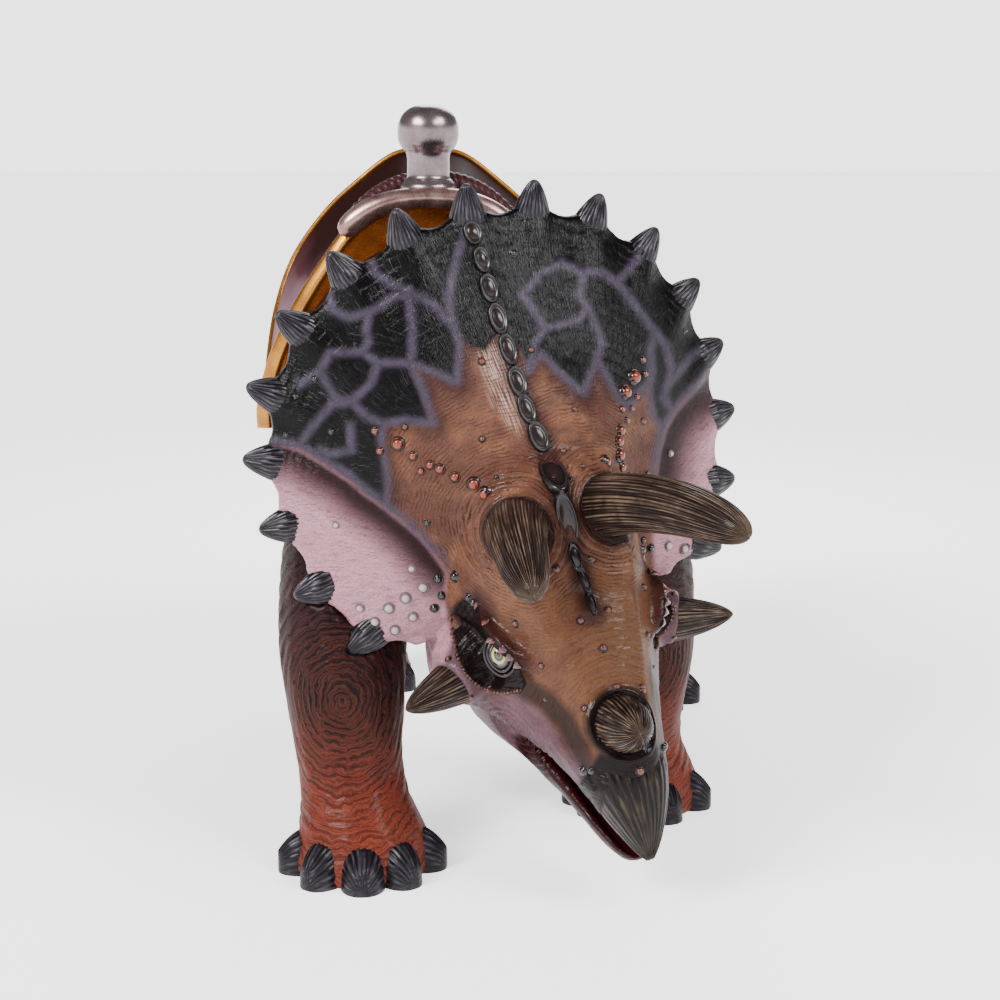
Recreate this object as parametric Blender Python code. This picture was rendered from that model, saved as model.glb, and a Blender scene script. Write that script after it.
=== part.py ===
"""A life-size moulded statue of a horned dinosaur that wears a riding saddle.

It stands on four feet with its head lowered and turned to its left. Metres, +Z up. The statue
faces -Y, so its own right side is at -X. Shapes are first placed about the saddle, and at the
end everything is shifted so that the origin is under the middle of the statue, on the floor.
"""

import math

import bmesh
import bpy
import numpy as np
from mathutils import Matrix, Vector
from mathutils.bvhtree import BVHTree

# Driving dimensions
GAP = 0.0003                 # clearance between touching pieces
BODY_GAP = 0.0010            # clearance between the body and the head's parts
HEAD_AT = Vector((0.049, -0.467, 0.464))
HEAD_TURN, HEAD_NOD, HEAD_ROLL = 24.9, 37.7, -13.7
FLOOR = 0.0

# Spine of the body: x, y, z, half width, half height
SPINE = [
    (0.060, -0.450, 0.430, 0.125, 0.130),
    (0.038, -0.390, 0.480, 0.180, 0.200),
    (-0.015, -0.300, 0.560, 0.215, 0.255),
    (-0.080, -0.190, 0.608, 0.238, 0.274),
    (-0.100, -0.020, 0.618, 0.250, 0.284),
    (-0.085, 0.130, 0.612, 0.250, 0.274),
    (-0.020, 0.280, 0.622, 0.222, 0.236),
    (0.050, 0.400, 0.618, 0.165, 0.180),
    (0.105, 0.505, 0.580, 0.108, 0.122),
    (0.165, 0.620, 0.525, 0.076, 0.084),
    (0.235, 0.740, 0.460, 0.053, 0.056),
    (0.315, 0.850, 0.398, 0.033, 0.035),
    (0.395, 0.940, 0.350, 0.013, 0.013),
]

# Throat line in the head's own frame
THROAT = [(0.0, -0.075, -0.165), (0.0, 0.020, -0.130), (0.0, 0.120, -0.060)]

# Legs, from the sole up: x, y, z, radius
LEGS = {
    "front_leg_right": [
        (-0.203, -0.490, -0.030, 0.097), (-0.203, -0.490, 0.000, 0.103),
        (-0.204, -0.488, 0.030, 0.101), (-0.210, -0.480, 0.065, 0.089),
        (-0.217, -0.468, 0.110, 0.077), (-0.222, -0.458, 0.170, 0.079),
        (-0.226, -0.450, 0.250, 0.089), (-0.229, -0.432, 0.340, 0.096),
        (-0.215, -0.390, 0.440, 0.105), (-0.170, -0.335, 0.550, 0.125),
        (-0.120, -0.280, 0.660, 0.110),
    ],
    "front_leg_left": [
        (0.225, -0.252, -0.030, 0.094), (0.225, -0.252, 0.000, 0.099),
        (0.225, -0.252, 0.030, 0.098), (0.222, -0.252, 0.065, 0.087),
        (0.217, -0.254, 0.110, 0.076), (0.218, -0.258, 0.170, 0.079),
        (0.222, -0.262, 0.250, 0.087), (0.218, -0.270, 0.340, 0.092),
        (0.190, -0.272, 0.440, 0.105), (0.125, -0.262, 0.550, 0.125),
        (0.070, -0.245, 0.660, 0.110),
    ],
    "hind_leg_left": [
        (0.290, 0.285, -0.030, 0.092), (0.290, 0.285, 0.000, 0.098),
        (0.290, 0.287, 0.030, 0.096), (0.288, 0.293, 0.065, 0.083),
        (0.285, 0.300, 0.110, 0.072), (0.280, 0.302, 0.170, 0.074),
        (0.270, 0.280, 0.250, 0.086), (0.245, 0.245, 0.340, 0.106),
        (0.195, 0.235, 0.440, 0.135), (0.125, 0.250, 0.550, 0.155),
        (0.060, 0.270, 0.670, 0.130),
    ],
    "hind_leg_right": [
        (-0.235, 0.405, -0.030, 0.092), (-0.235, 0.405, 0.000, 0.098),
        (-0.235, 0.407, 0.030, 0.096), (-0.235, 0.413, 0.065, 0.083),
        (-0.237, 0.420, 0.110, 0.072), (-0.236, 0.420, 0.170, 0.074),
        (-0.230, 0.395, 0.250, 0.086), (-0.215, 0.350, 0.340, 0.106),
        (-0.180, 0.310, 0.440, 0.135), (-0.125, 0.290, 0.550, 0.155),
        (-0.085, 0.280, 0.670, 0.130),
    ],
}
# Heading of each foot in degrees from straight ahead, hoof angles about it, hoof half width
FEET = {
    "front_leg_right": (2.0, (-80, -40, 0, 36, 78), 0.029),
    "front_leg_left": (-14.0, (-74, -38, 0, 36, 84), 0.029),
    "hind_leg_left": (12.0, (-60, -20, 20, 60), 0.029),
    "hind_leg_right": (-4.0, (-60, -20, 20, 60), 0.029),
}
HOOF_TALL = 0.062
LEG_CUT, LEG_CUT_TURN = 0.285, 8

# Skull sections in the head's own frame (x to its left, y to its back, z to its crown):
# y, crown z, brow half width and z, middle half width and z, lower half width and z
SKULL = [
    (-0.388, -0.052, 0.018, -0.060, 0.032, -0.088, 0.030, -0.128),
    (-0.358, -0.014, 0.036, -0.032, 0.052, -0.075, 0.050, -0.132),
    (-0.314, 0.002, 0.046, -0.012, 0.066, -0.060, 0.063, -0.132),
    (-0.267, 0.020, 0.056, 0.004, 0.080, -0.045, 0.081, -0.131),
    (-0.210, 0.064, 0.070, 0.044, 0.098, -0.035, 0.108, -0.134),
    (-0.150, 0.099, 0.085, 0.078, 0.120, -0.020, 0.140, -0.158),
    (-0.095, 0.142, 0.094, 0.112, 0.140, -0.025, 0.172, -0.200),
    (-0.040, 0.180, 0.098, 0.145, 0.152, -0.015, 0.178, -0.225),
    (0.025, 0.186, 0.095, 0.148, 0.142, 0.010, 0.150, -0.215),
    (0.085, 0.150, 0.070, 0.120, 0.105, 0.020, 0.095, -0.160),
]
# Lower jaw: y, half width, rim z, chin z
JAW = [
    (-0.421, 0.010, -0.168, -0.184),
    (-0.404, 0.027, -0.165, -0.199),
    (-0.360, 0.045, -0.161, -0.207),
    (-0.305, 0.061, -0.155, -0.214),
    (-0.250, 0.080, -0.147, -0.222),
    (-0.205, 0.096, -0.132, -0.239),
    (-0.150, 0.122, -0.108, -0.266),
    (-0.090, 0.140, -0.100, -0.286),
    (-0.030, 0.138, -0.100, -0.276),
    (0.020, 0.105, -0.120, -0.235),
]
# Upper beak: y, half width, crown z, edge z
BEAK = [
    (-0.330, 0.058, -0.015, -0.136),
    (-0.375, 0.047, -0.033, -0.139),
    (-0.408, 0.032, -0.064, -0.142),
    (-0.430, 0.018, -0.100, -0.145),
    (-0.442, 0.006, -0.132, -0.146),
]
# Frill rim from the crown down the left side, with the line on the skull that it grows from
FRILL_RIM = [
    (0.000, 0.322, 0.350), (0.093, 0.317, 0.338), (0.180, 0.303, 0.305),
    (0.254, 0.276, 0.250), (0.306, 0.235, 0.180), (0.330, 0.182, 0.108),
    (0.329, 0.120, 0.040), (0.306, 0.048, -0.022), (0.258, -0.020, -0.070),
    (0.185, -0.050, -0.078),
]
FRILL_ROOT = [
    (0.000, 0.000, 0.160), (0.042, 0.000, 0.155), (0.072, 0.002, 0.145),
    (0.092, 0.004, 0.125), (0.104, 0.004, 0.095), (0.110, 0.000, 0.065),
    (0.113, -0.010, 0.035), (0.115, -0.020, 0.002), (0.115, -0.032, -0.032),
    (0.112, -0.042, -0.062),
]
FRILL_THICK_ROOT, FRILL_THICK_RIM = 0.034, 0.018
FRILL_TRIANGLES = 2300
FRILL_SWELL = 0.016
# Tips of the frill's spikes, from the crown down the left side
SPIKE_TIPS = [
    (0.000, 0.339, 0.395), (0.102, 0.335, 0.380), (0.201, 0.322, 0.340),
    (0.285, 0.295, 0.276), (0.344, 0.250, 0.197), (0.370, 0.193, 0.115),
    (0.370, 0.125, 0.039), (0.345, 0.047, -0.028), (0.295, -0.031, -0.084),
]
SPIKE_HALF = 0.024

BROW_BASE, BROW_TIP = Vector((0.058, -0.050, 0.128)), Vector((0.142, -0.280, 0.311))
BROW_BOW = Vector((0.004, 0.012, 0.014))
BROW_RADIUS = 0.044
NOSE_BASE, NOSE_TIP = Vector((0.0, -0.300, -0.012)), Vector((0.0, -0.354, 0.042))
NOSE_RADIUS = 0.038
CHEEK_BASE, CHEEK_TIP = Vector((0.120, -0.112, -0.088)), Vector((0.250, -0.157, -0.067))
CHEEK_RADIUS = 0.037
EYE_AT, EYE_RADIUS = Vector((0.106, -0.150, -0.004)), 0.022
SOCKET_AT, SOCKET_SIZE = Vector((0.147, -0.118, -0.036)), (0.030, 0.076, 0.044)
SCUTES = 13

# Saddle, about its own upright plane
SADDLE_X = -0.100
FORK_Y, FORK_HALF, FORK_TOP, FORK_DROP = -0.200, 0.130, 0.948, 0.055
FORK_RADIUS = 0.0175
# Front edge and rear rim of one side, crown to tip: out from the plane, y, z
FRONT_EDGE = [
    (0.000, -0.205, 0.945), (0.060, -0.205, 0.936), (0.115, -0.204, 0.902),
    (0.156, -0.203, 0.850), (0.203, -0.200, 0.776), (0.238, -0.195, 0.702),
    (0.258, -0.180, 0.632), (0.262, -0.150, 0.590),
]
REAR_RIM = [
    (0.000, 0.175, 1.022), (0.060, 0.172, 1.012), (0.125, 0.165, 0.964),
    (0.179, 0.150, 0.913), (0.230, 0.120, 0.840), (0.257, 0.070, 0.759),
    (0.266, 0.000, 0.680), (0.265, -0.075, 0.605),
]
SEAT_SAG, FLAP_THICK = 0.050, 0.011
TRIM_FRONT, TRIM_REAR = 0.0095, 0.0060
ROPE_RADIUS = 0.011
GIRTH_Y, GIRTH_WIDE, GIRTH_THICK = -0.115, 0.062, 0.007
# Horn of the saddle, turned: radius, height over the fork
HORN_PROFILE = [
    (0.0380, -0.010), (0.0425, 0.002), (0.0425, 0.014), (0.0370, 0.023), (0.0325, 0.029),
    (0.0322, 0.044), (0.0335, 0.058), (0.0375, 0.067), (0.0450, 0.081), (0.0468, 0.096),
    (0.0440, 0.112), (0.0350, 0.126), (0.0200, 0.135),
]


def head_frame():
    """Places the head's own frame in the statue."""
    turn = Matrix.Rotation(math.radians(HEAD_TURN), 4, "Z")
    nod = Matrix.Rotation(math.radians(HEAD_NOD), 4, "X")
    roll = Matrix.Rotation(math.radians(HEAD_ROLL), 4, "Y")
    return Matrix.Translation(HEAD_AT) @ turn @ nod @ roll


HEAD = head_frame()


def material(name, colour, roughness, metallic=0.0):
    """A plain finish with one colour."""
    made = bpy.data.materials.new(name)
    made.use_nodes = True
    shader = made.node_tree.nodes["Principled BSDF"]
    shader.inputs["Base Color"].default_value = (*colour, 1.0)
    shader.inputs["Roughness"].default_value = roughness
    shader.inputs["Metallic"].default_value = metallic
    return made


def new_object(name, points, faces, finish=None):
    """A mesh object from points and faces, with its normals made to face out."""
    mesh = bpy.data.meshes.new(name)
    mesh.from_pydata([tuple(map(float, p)) for p in points], [], faces)
    shape = bmesh.new()
    shape.from_mesh(mesh)
    bmesh.ops.remove_doubles(shape, verts=shape.verts, dist=1e-6)
    bmesh.ops.triangulate(shape, faces=shape.faces)
    bmesh.ops.recalc_face_normals(shape, faces=shape.faces)
    shape.to_mesh(mesh)
    shape.free()
    made = bpy.data.objects.new(name, mesh)
    bpy.context.scene.collection.objects.link(made)
    if finish:
        made.data.materials.append(finish)
    return made


def spline(rows, count):
    """A smooth curve through the rows, read at count even steps."""
    rows = np.array(rows, float)
    before = 2 * rows[0] - rows[1]
    after = 2 * rows[-1] - rows[-2]
    knots = np.vstack([before, rows, after])
    out = []
    for s in np.linspace(0, len(rows) - 1, count):
        i = min(int(s), len(rows) - 2)
        t = s - i
        a, b, c, d = knots[i:i + 4]
        out.append(0.5 * (2 * b + (c - a) * t + (2 * a - 5 * b + 4 * c - d) * t**2
                          + (3 * b - a - 3 * c + d) * t**3))
    return np.array(out)


def skin_rings(name, rings, finish=None):
    """Joins rings of equal count into a closed tube with flat ends."""
    count = len(rings[0])
    points = np.vstack(rings)
    faces = []
    for r in range(len(rings) - 1):
        for i in range(count):
            j = (i + 1) % count
            faces.append((r * count + i, r * count + j, (r + 1) * count + j,
                          (r + 1) * count + i))
    faces.append(tuple(range(count)))
    faces.append(tuple((len(rings) - 1) * count + i for i in range(count)))
    return new_object(name, points, faces, finish)


def tube(name, path, radii, sides=12, flat=1.0, finish=None):
    """A tube along a path, whose radius changes; flat squeezes it upright."""
    path = np.array(path, float)
    tangents = np.gradient(path, axis=0)
    rings = []
    side = None
    for p, t, r in zip(path, tangents, radii):
        t = Vector(t).normalized()
        if side is None:
            side = t.cross(Vector((0, 0, 1)))
            if side.length < 0.2:
                side = t.cross(Vector((0, 1, 0)))
        side = (side - t * side.dot(t)).normalized()
        up = side.cross(t)
        rings.append([Vector(p) + side * r * math.cos(a) + up * r * flat * math.sin(a)
                      for a in np.linspace(0, 2 * math.pi, sides, endpoint=False)])
    return skin_rings(name, rings, finish)


def apply_modifiers(obj):
    """Bakes an object's modifiers into its mesh."""
    graph = bpy.context.evaluated_depsgraph_get()
    mesh = bpy.data.meshes.new_from_object(obj.evaluated_get(graph))
    obj.modifiers.clear()
    obj.data = mesh


def drop(*objects):
    """Removes helper objects."""
    for obj in objects:
        bpy.data.objects.remove(obj)


def keep_largest(obj):
    """Keeps only the largest closed surface of a mesh."""
    shape = bmesh.new()
    shape.from_mesh(obj.data)
    left = set(shape.faces)
    groups = []
    while left:
        stack = [left.pop()]
        group = [stack[0]]
        while stack:
            face = stack.pop()
            for edge in face.edges:
                for other in edge.link_faces:
                    if other in left:
                        left.remove(other)
                        stack.append(other)
                        group.append(other)
        groups.append(group)
    groups.sort(key=lambda g: sum(f.calc_area() for f in g))
    for group in groups[:-1]:
        bmesh.ops.delete(shape, geom=group, context="FACES")
    loose = [v for v in shape.verts if not v.link_faces]
    bmesh.ops.delete(shape, geom=loose, context="VERTS")
    shape.to_mesh(obj.data)
    shape.free()


def boolean(obj, other, operation):
    """Combines a closed mesh with another one and bakes the result."""
    before = obj.data
    for solver in ("EXACT", "MANIFOLD"):
        obj.data = before
        modifier = obj.modifiers.new(operation.lower(), "BOOLEAN")
        modifier.operation = operation
        modifier.solver = solver
        modifier.object = other
        apply_modifiers(obj)
        if len(obj.data.polygons) > 0:
            return


def fuse(obj, others):
    """One union of an object with a collection of closed pieces, which are then removed."""
    holder = bpy.data.collections.new("fused")
    bpy.context.scene.collection.children.link(holder)
    for piece in others:
        bpy.context.scene.collection.objects.unlink(piece)
        holder.objects.link(piece)
    modifier = obj.modifiers.new("union", "BOOLEAN")
    modifier.operation = "UNION"
    modifier.solver = "EXACT"
    modifier.operand_type = "COLLECTION"
    modifier.collection = holder
    apply_modifiers(obj)
    drop(*list(holder.objects))
    bpy.data.collections.remove(holder)
    keep_largest(obj)


def grown(obj, by):
    """A copy of a closed mesh, swollen along its normals."""
    mesh = obj.data.copy()
    shape = bmesh.new()
    shape.from_mesh(mesh)
    shape.normal_update()
    moves = [v.normal * by * min(2.0, max(1.0, v.calc_shell_factor())) for v in shape.verts]
    for vert, move in zip(shape.verts, moves):
        vert.co += move
    shape.to_mesh(mesh)
    shape.free()
    copy = bpy.data.objects.new(obj.name + "_grown", mesh)
    bpy.context.scene.collection.objects.link(copy)
    return copy


def carve(obj, *others, gap=GAP):
    """Cuts an object back from its neighbours, leaving the gap."""
    for other in others:
        for by in (gap, 0.0) if gap > GAP else (gap,):
            cutter = grown(other, by)
            boolean(obj, cutter, "DIFFERENCE")
            drop(cutter)
    keep_largest(obj)


def block(name, at, size, turn=(0, 0, 0)):
    """A box by its centre, sides and turn in degrees."""
    shape = bmesh.new()
    bmesh.ops.create_cube(shape, size=1.0)
    mesh = bpy.data.meshes.new(name)
    x, y, z = (Matrix.Rotation(math.radians(a), 4, axis) for a, axis in zip(turn, "XYZ"))
    place = Matrix.Translation(Vector(at)) @ z @ y @ x @ Matrix.Diagonal((*size, 1.0))
    shape.transform(place)
    shape.to_mesh(mesh)
    shape.free()
    made = bpy.data.objects.new(name, mesh)
    bpy.context.scene.collection.objects.link(made)
    return made


def split_off(name, body, region, finish):
    """Takes the part of the body inside a region as its own object, with a thin cut."""
    part = body.copy()
    part.data = body.data.copy()
    part.name = name
    bpy.context.scene.collection.objects.link(part)
    boolean(part, region, "INTERSECT")
    keep_largest(part)
    wider = grown(region, GAP)
    boolean(body, wider, "DIFFERENCE")
    drop(region, wider)
    keep_largest(body)
    part.data.materials.clear()
    part.data.materials.append(finish)
    return part


def thin_out(obj, triangles):
    """Reduces a mesh to about that many triangles."""
    obj.data.calc_loop_triangles()
    thin = obj.modifiers.new("thin", "DECIMATE")
    thin.ratio = min(1.0, triangles / len(obj.data.loop_triangles))
    apply_modifiers(obj)


def melt(name, pieces, voxel, smooth, triangles):
    """Melts overlapping closed pieces into one smooth skin of about that many triangles."""
    base = pieces[0]
    shape = bmesh.new()
    for piece in pieces:
        shape.from_mesh(piece.data)
    mesh = bpy.data.meshes.new(name)
    shape.to_mesh(mesh)
    shape.free()
    drop(*pieces[1:])
    base.data = mesh
    base.name = name
    remesh = base.modifiers.new("remesh", "REMESH")
    remesh.mode = "VOXEL"
    remesh.voxel_size = voxel
    soften = base.modifiers.new("soften", "SMOOTH")
    soften.factor = 0.5
    soften.iterations = smooth
    apply_modifiers(base)
    thin_out(base, triangles)
    keep_largest(base)
    return base


def body_rings(steps=40, sides=32):
    """Upright sections of the trunk and tail along the spine."""
    rows = spline(SPINE, steps)
    tangents = np.gradient(rows[:, :3], axis=0)
    rings = []
    for (x, y, z, wide, tall), t in zip(rows, tangents):
        t = Vector(t).normalized()
        side = t.cross(Vector((0, 0, 1))).normalized()
        up = side.cross(t)
        ring = []
        for a in np.linspace(0, 2 * math.pi, sides, endpoint=False):
            c, s = math.cos(a), math.sin(a)
            out = abs(c) ** 0.92 * math.copysign(1, c) * wide
            ring.append(Vector((x, y, z)) + side * out + up * s * tall)
        rings.append(ring)
    return rings


def build_body(skin):
    """Trunk, neck, tail and legs as one skin, then parted by thin cuts."""
    pieces = [skin_rings("trunk", body_rings())]
    for name, rows in LEGS.items():
        rows = spline(rows, 22)
        pieces.append(tube(name, rows[:, :3], rows[:, 3], sides=18))
    throat = spline([HEAD @ Vector(p) for p in THROAT], 8)
    pieces.append(tube("throat", throat, np.linspace(0.085, 0.150, 8), 16))
    body = melt("torso", pieces, 0.011, 6, 2900)
    under = block("under", (0, 0, FLOOR - 0.25), (3, 3, 0.5))
    boolean(body, under, "DIFFERENCE")
    drop(under)
    keep_largest(body)
    body.data.materials.append(skin)
    parts = {"torso": body}
    parts["tail"] = split_off(
        "tail", body, block("region", (0.30, 0.83, 0.50), (0.9, 0.70, 0.7), (12, 0, -26)), skin)
    parts["neck"] = split_off(
        "neck", body, block("region", (0.10, -0.62, 0.62), (0.62, 0.50, 0.50), (0, 0, 28)), skin)
    for name, rows in LEGS.items():
        x, y = rows[6][:2]
        turn = (0, math.copysign(LEG_CUT_TURN, -x), 0)
        region = block("region", (x * 1.05, y, LEG_CUT - 0.30), (0.26, 0.34, 0.60), turn)
        parts[name] = split_off(name, body, region, skin)
    return parts


def hoof(at, heading, half, reach):
    """One blunt hoof, a rounded shell that leans out of the foot at floor level."""
    rows = []
    for s in (0.0, 0.45, 0.78, 1.0):
        width = half * math.sqrt(max(0.02, 1 - (0.94 * s) ** 2.2))
        rows.append((s, width))
    out = Vector((math.sin(heading), -math.cos(heading), 0))
    side = Vector((math.cos(heading), math.sin(heading), 0))
    rings = []
    for s, width in rows:
        tall = HOOF_TALL * (1.0 - 0.62 * s ** 1.7)
        ring = []
        for a in np.linspace(0, math.pi, 6):
            ring.append(at + out * reach * (s - 0.45) + side * width * math.cos(a)
                        + Vector((0, 0, 1)) * tall * math.sin(a) ** 0.8)
        rings.append(ring)
    return skin_rings("hoof", rings)


def add_hooves(parts):
    """Hooves round the front of each foot, fused to it and flat on the floor."""
    for name, (heading, angles, half) in FEET.items():
        x, y, _, radius = LEGS[name][1]
        pieces = []
        for angle in angles:
            a = math.radians(heading + angle)
            at = Vector((x + math.sin(a) * radius * 0.90, y - math.cos(a) * radius * 0.90, 0.0))
            scale = 1.0 - 0.16 * abs(angle) / 80
            pieces.append(hoof(at, a, half * scale, 0.052))
        fuse(parts[name], pieces)


def skull_ring(row, sides):
    """One closed section of the skull through its named half widths."""
    y, top, brow, brow_z, mid, mid_z, low, low_z = row
    half = [(0.0, top), (brow * 0.55, top - 0.15 * (top - brow_z)), (brow, brow_z),
            (mid, mid_z), (low, (mid_z + low_z) / 2), (low * 0.90, low_z + 0.012),
            (low * 0.55, low_z), (0.0, low_z)]
    loop = half + [(-x, z) for x, z in half[-2:0:-1]]
    closed = loop[-2:] + loop + loop[:3]
    count = len(loop)
    ring = []
    for s in np.linspace(0, count, sides, endpoint=False):
        i = int(s)
        t = s - i
        a, b, c, d = (np.array(closed[i + k + 1]) for k in range(4))
        p = 0.5 * (2 * b + (c - a) * t + (2 * a - 5 * b + 4 * c - d) * t**2
                   + (3 * b - a - 3 * c + d) * t**3)
        ring.append(HEAD @ Vector((p[0], y, p[1])))
    return ring


def build_head(skin):
    """The face and skull, with the eye sockets sunk in."""
    rows = spline(SKULL, 16)
    head = skin_rings("head", [skull_ring(row, 24) for row in rows], skin)
    pieces = []
    for side in (-1, 1):
        brow = [Vector((side * x, y, z)) for x, y, z in (
            (0.088, -0.205, 0.018), (0.112, -0.178, 0.030), (0.126, -0.140, 0.034),
            (0.132, -0.100, 0.024))]
        path = spline([HEAD @ p for p in brow], 7)
        pieces.append(tube("brow", path, np.array([7, 12, 14, 15, 14, 12, 7]) / 1000, 8))
        flange = spline([HEAD @ Vector((side * x, y, z)) for x, y, z in (
            (0.100, -0.085, -0.085), (0.150, -0.110, -0.086), (0.172, -0.118, -0.082))], 4)
        pieces.append(tube("cheek", flange, [0.068, 0.058, 0.048, 0.038], 10))
    for side in (-1, 1):
        dish = ball("socket", HEAD @ Matrix.Translation(mirror_point(SOCKET_AT, side))
                    @ Matrix.Rotation(side * math.radians(-14), 4, "Z")
                    @ Matrix.Diagonal((*SOCKET_SIZE, 1.0)), 14, 7)
        boolean(head, dish, "DIFFERENCE")
        drop(dish)
    fuse(head, pieces)
    return head


def frill_grid(across, along):
    """Rows of points over the frill's front face, from the skull line out to the rim."""
    rim = spline(FRILL_RIM, across)
    root = spline(FRILL_ROOT, across)
    grid = []
    for v in np.linspace(0, 1, along):
        line = root + (rim - root) * v
        swell = FRILL_SWELL * math.sin(math.pi * v) * np.sin(np.linspace(0, math.pi, across))
        line = line + np.outer(swell, (0.0, -0.55, 0.83))
        grid.append(line)
    grid = np.array(grid)
    mirrored = grid[:, :0:-1] * (-1, 1, 1)
    return np.concatenate([mirrored, grid], axis=1)


def frill_normals(grid):
    """Normals of the front face, facing the crown side."""
    across = np.gradient(grid, axis=1)
    along = np.gradient(grid, axis=0)
    normal = np.cross(across, along)
    return normal / np.linalg.norm(normal, axis=2, keepdims=True)


def build_frill(finish):
    """The neck frill, a curved shield with a spike at each step along its rim."""
    across, along = 19, 6
    grid = frill_grid(across, along)
    normal = frill_normals(grid)
    thick = np.linspace(FRILL_THICK_ROOT, FRILL_THICK_RIM, along)[:, None, None]
    front = grid + normal * thick * 0.5
    back = grid - normal * thick * 0.5
    wide = grid.shape[1]
    rim_out = grid[-1] + (grid[-1] - grid[-2]) * 0.12
    points = np.concatenate([front.reshape(-1, 3), back.reshape(-1, 3), rim_out])
    points = [HEAD @ Vector(p) for p in points]
    faces = []
    half = along * wide
    for r in range(along - 1):
        for i in range(wide - 1):
            a, b = r * wide + i, r * wide + i + 1
            c, d = b + wide, a + wide
            faces.append((a, b, c, d))
            faces.append((half + d, half + c, half + b, half + a))
    last = (along - 1) * wide
    edge = 2 * half
    for i in range(wide - 1):
        faces.append((last + i, last + i + 1, edge + i + 1, edge + i))
        faces.append((edge + i, edge + i + 1, half + last + i + 1, half + last + i))
        faces.append((i + 1, i, half + i, half + i + 1))
    for i in (0, wide - 1):
        for r in range(along - 1):
            a, b = r * wide + i, (r + 1) * wide + i
            faces.append((a, b, half + b, half + a))
        faces.append((last + i, edge + i, half + last + i))
    frill = new_object("frill", points, faces, finish)
    pieces = []
    centre = (wide - 1) // 2
    per_step = centre // (len(FRILL_RIM) - 1)
    for k in range(1 - len(SPIKE_TIPS), len(SPIKE_TIPS)):
        i = centre + k * per_step
        tip = Vector(SPIKE_TIPS[abs(k)])
        tip.x *= 1 if k > 0 else -1
        pieces.append(spike(Vector(grid[-1, i]), tip, Vector(normal[-1, i])))
    fuse(frill, pieces)
    thin_out(frill, FRILL_TRIANGLES)
    return frill


def spike(base, tip, face):
    """A low blunt cone on the frill's rim."""
    out = tip - base
    along = face.cross(out).normalized()
    rings = []
    for s, r in ((-0.45, 0.98), (0.0, 1.0), (0.42, 0.82), (0.78, 0.48), (1.0, 0.14)):
        ring = []
        for a in np.linspace(0, 2 * math.pi, 8, endpoint=False):
            p = (base + out * s + along * SPIKE_HALF * r * math.cos(a)
                 + face * SPIKE_HALF * 0.76 * r * math.sin(a))
            ring.append(HEAD @ p)
        rings.append(ring)
    return skin_rings("spike", rings)


def horn(name, base, tip, bow, radius, blunt, finish, sides=14, steps=9, taper=0.0):
    """A horn from base to tip that bows, and whose end is blunt."""
    path, radii = [], []
    for s in np.linspace(0, 1, steps):
        reach = 1 - (1 - s) ** 1.35
        middle = (base + tip) / 2 + bow * 2
        p = base * (1 - reach) ** 2 + middle * 2 * reach * (1 - reach) + tip * reach**2
        path.append(HEAD @ p)
        radii.append(radius * (1 - taper * reach) * max(0.10, (1 - reach**blunt)) ** 0.62)
    return tube(name, path, radii, sides, finish=finish)


def mirror_point(point, side):
    return Vector((point.x * side, point.y, point.z))


def build_beak(finish):
    """The hooked upper beak."""
    rings = []
    for y, half, top, edge in spline(BEAK, 8):
        ring = []
        for a in np.linspace(0, 2 * math.pi, 14, endpoint=False):
            c, s = math.cos(a), math.sin(a)
            z = (top + edge) / 2 + (top - edge) / 2 * math.copysign(abs(s) ** 0.75, s)
            ring.append(HEAD @ Vector((half * math.copysign(abs(c) ** 0.8, c), y, z)))
        rings.append(ring)
    return skin_rings("beak", rings, finish)


def build_jaw(finish):
    """The lower jaw, a shallow scoop with a raised rim."""
    rings = []
    for y, half, rim, chin in spline(JAW, 12):
        dish = min(0.016, half * 0.5)
        outline = [(0.0, rim - dish), (0.45, rim - dish), (0.74, rim - dish * 0.55), (0.88, rim),
                   (1.0, rim - 0.004), (1.0, (rim + chin) / 2), (0.82, chin + 0.010),
                   (0.45, chin), (0.0, chin - 0.001)]
        loop = [(x * half, z) for x, z in outline]
        loop += [(-x, z) for x, z in loop[-2:0:-1]]
        rings.append([HEAD @ Vector((x, y, z)) for x, z in loop])
    return skin_rings("lower_jaw", rings, finish)


def ball(name, place, around, up):
    """A unit ball set by a matrix."""
    shape = bmesh.new()
    bmesh.ops.create_uvsphere(shape, u_segments=around, v_segments=up, radius=1.0)
    shape.transform(place)
    mesh = bpy.data.meshes.new(name)
    shape.to_mesh(mesh)
    shape.free()
    made = bpy.data.objects.new(name, mesh)
    bpy.context.scene.collection.objects.link(made)
    return made


def build_eye(side, finish):
    """The ball of one eye."""
    place = HEAD @ Matrix.Translation(mirror_point(EYE_AT, side)) @ Matrix.Scale(EYE_RADIUS, 4)
    made = ball("eye_left" if side > 0 else "eye_right", place, 12, 7)
    made.data.materials.append(finish)
    return made


def saddle_curve(rows, count):
    """A saddle line from the right tip over the crown to the left tip."""
    half = spline(rows, count)
    full = np.vstack([half[:0:-1] * (-1, 1, 1), half])
    return full + (SADDLE_X, 0, 0)


def trunk_reach(tree, axis_x, axis_z, point):
    """How far the trunk reaches from the saddle's axis towards a point, at the point's y."""
    origin = Vector((axis_x, point[1], axis_z))
    ray = Vector(point) - origin
    ray.y = 0
    ray.normalize()
    hit, _, _, reach = tree.ray_cast(origin, ray, 1.0)
    return reach if hit else 0.0


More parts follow.
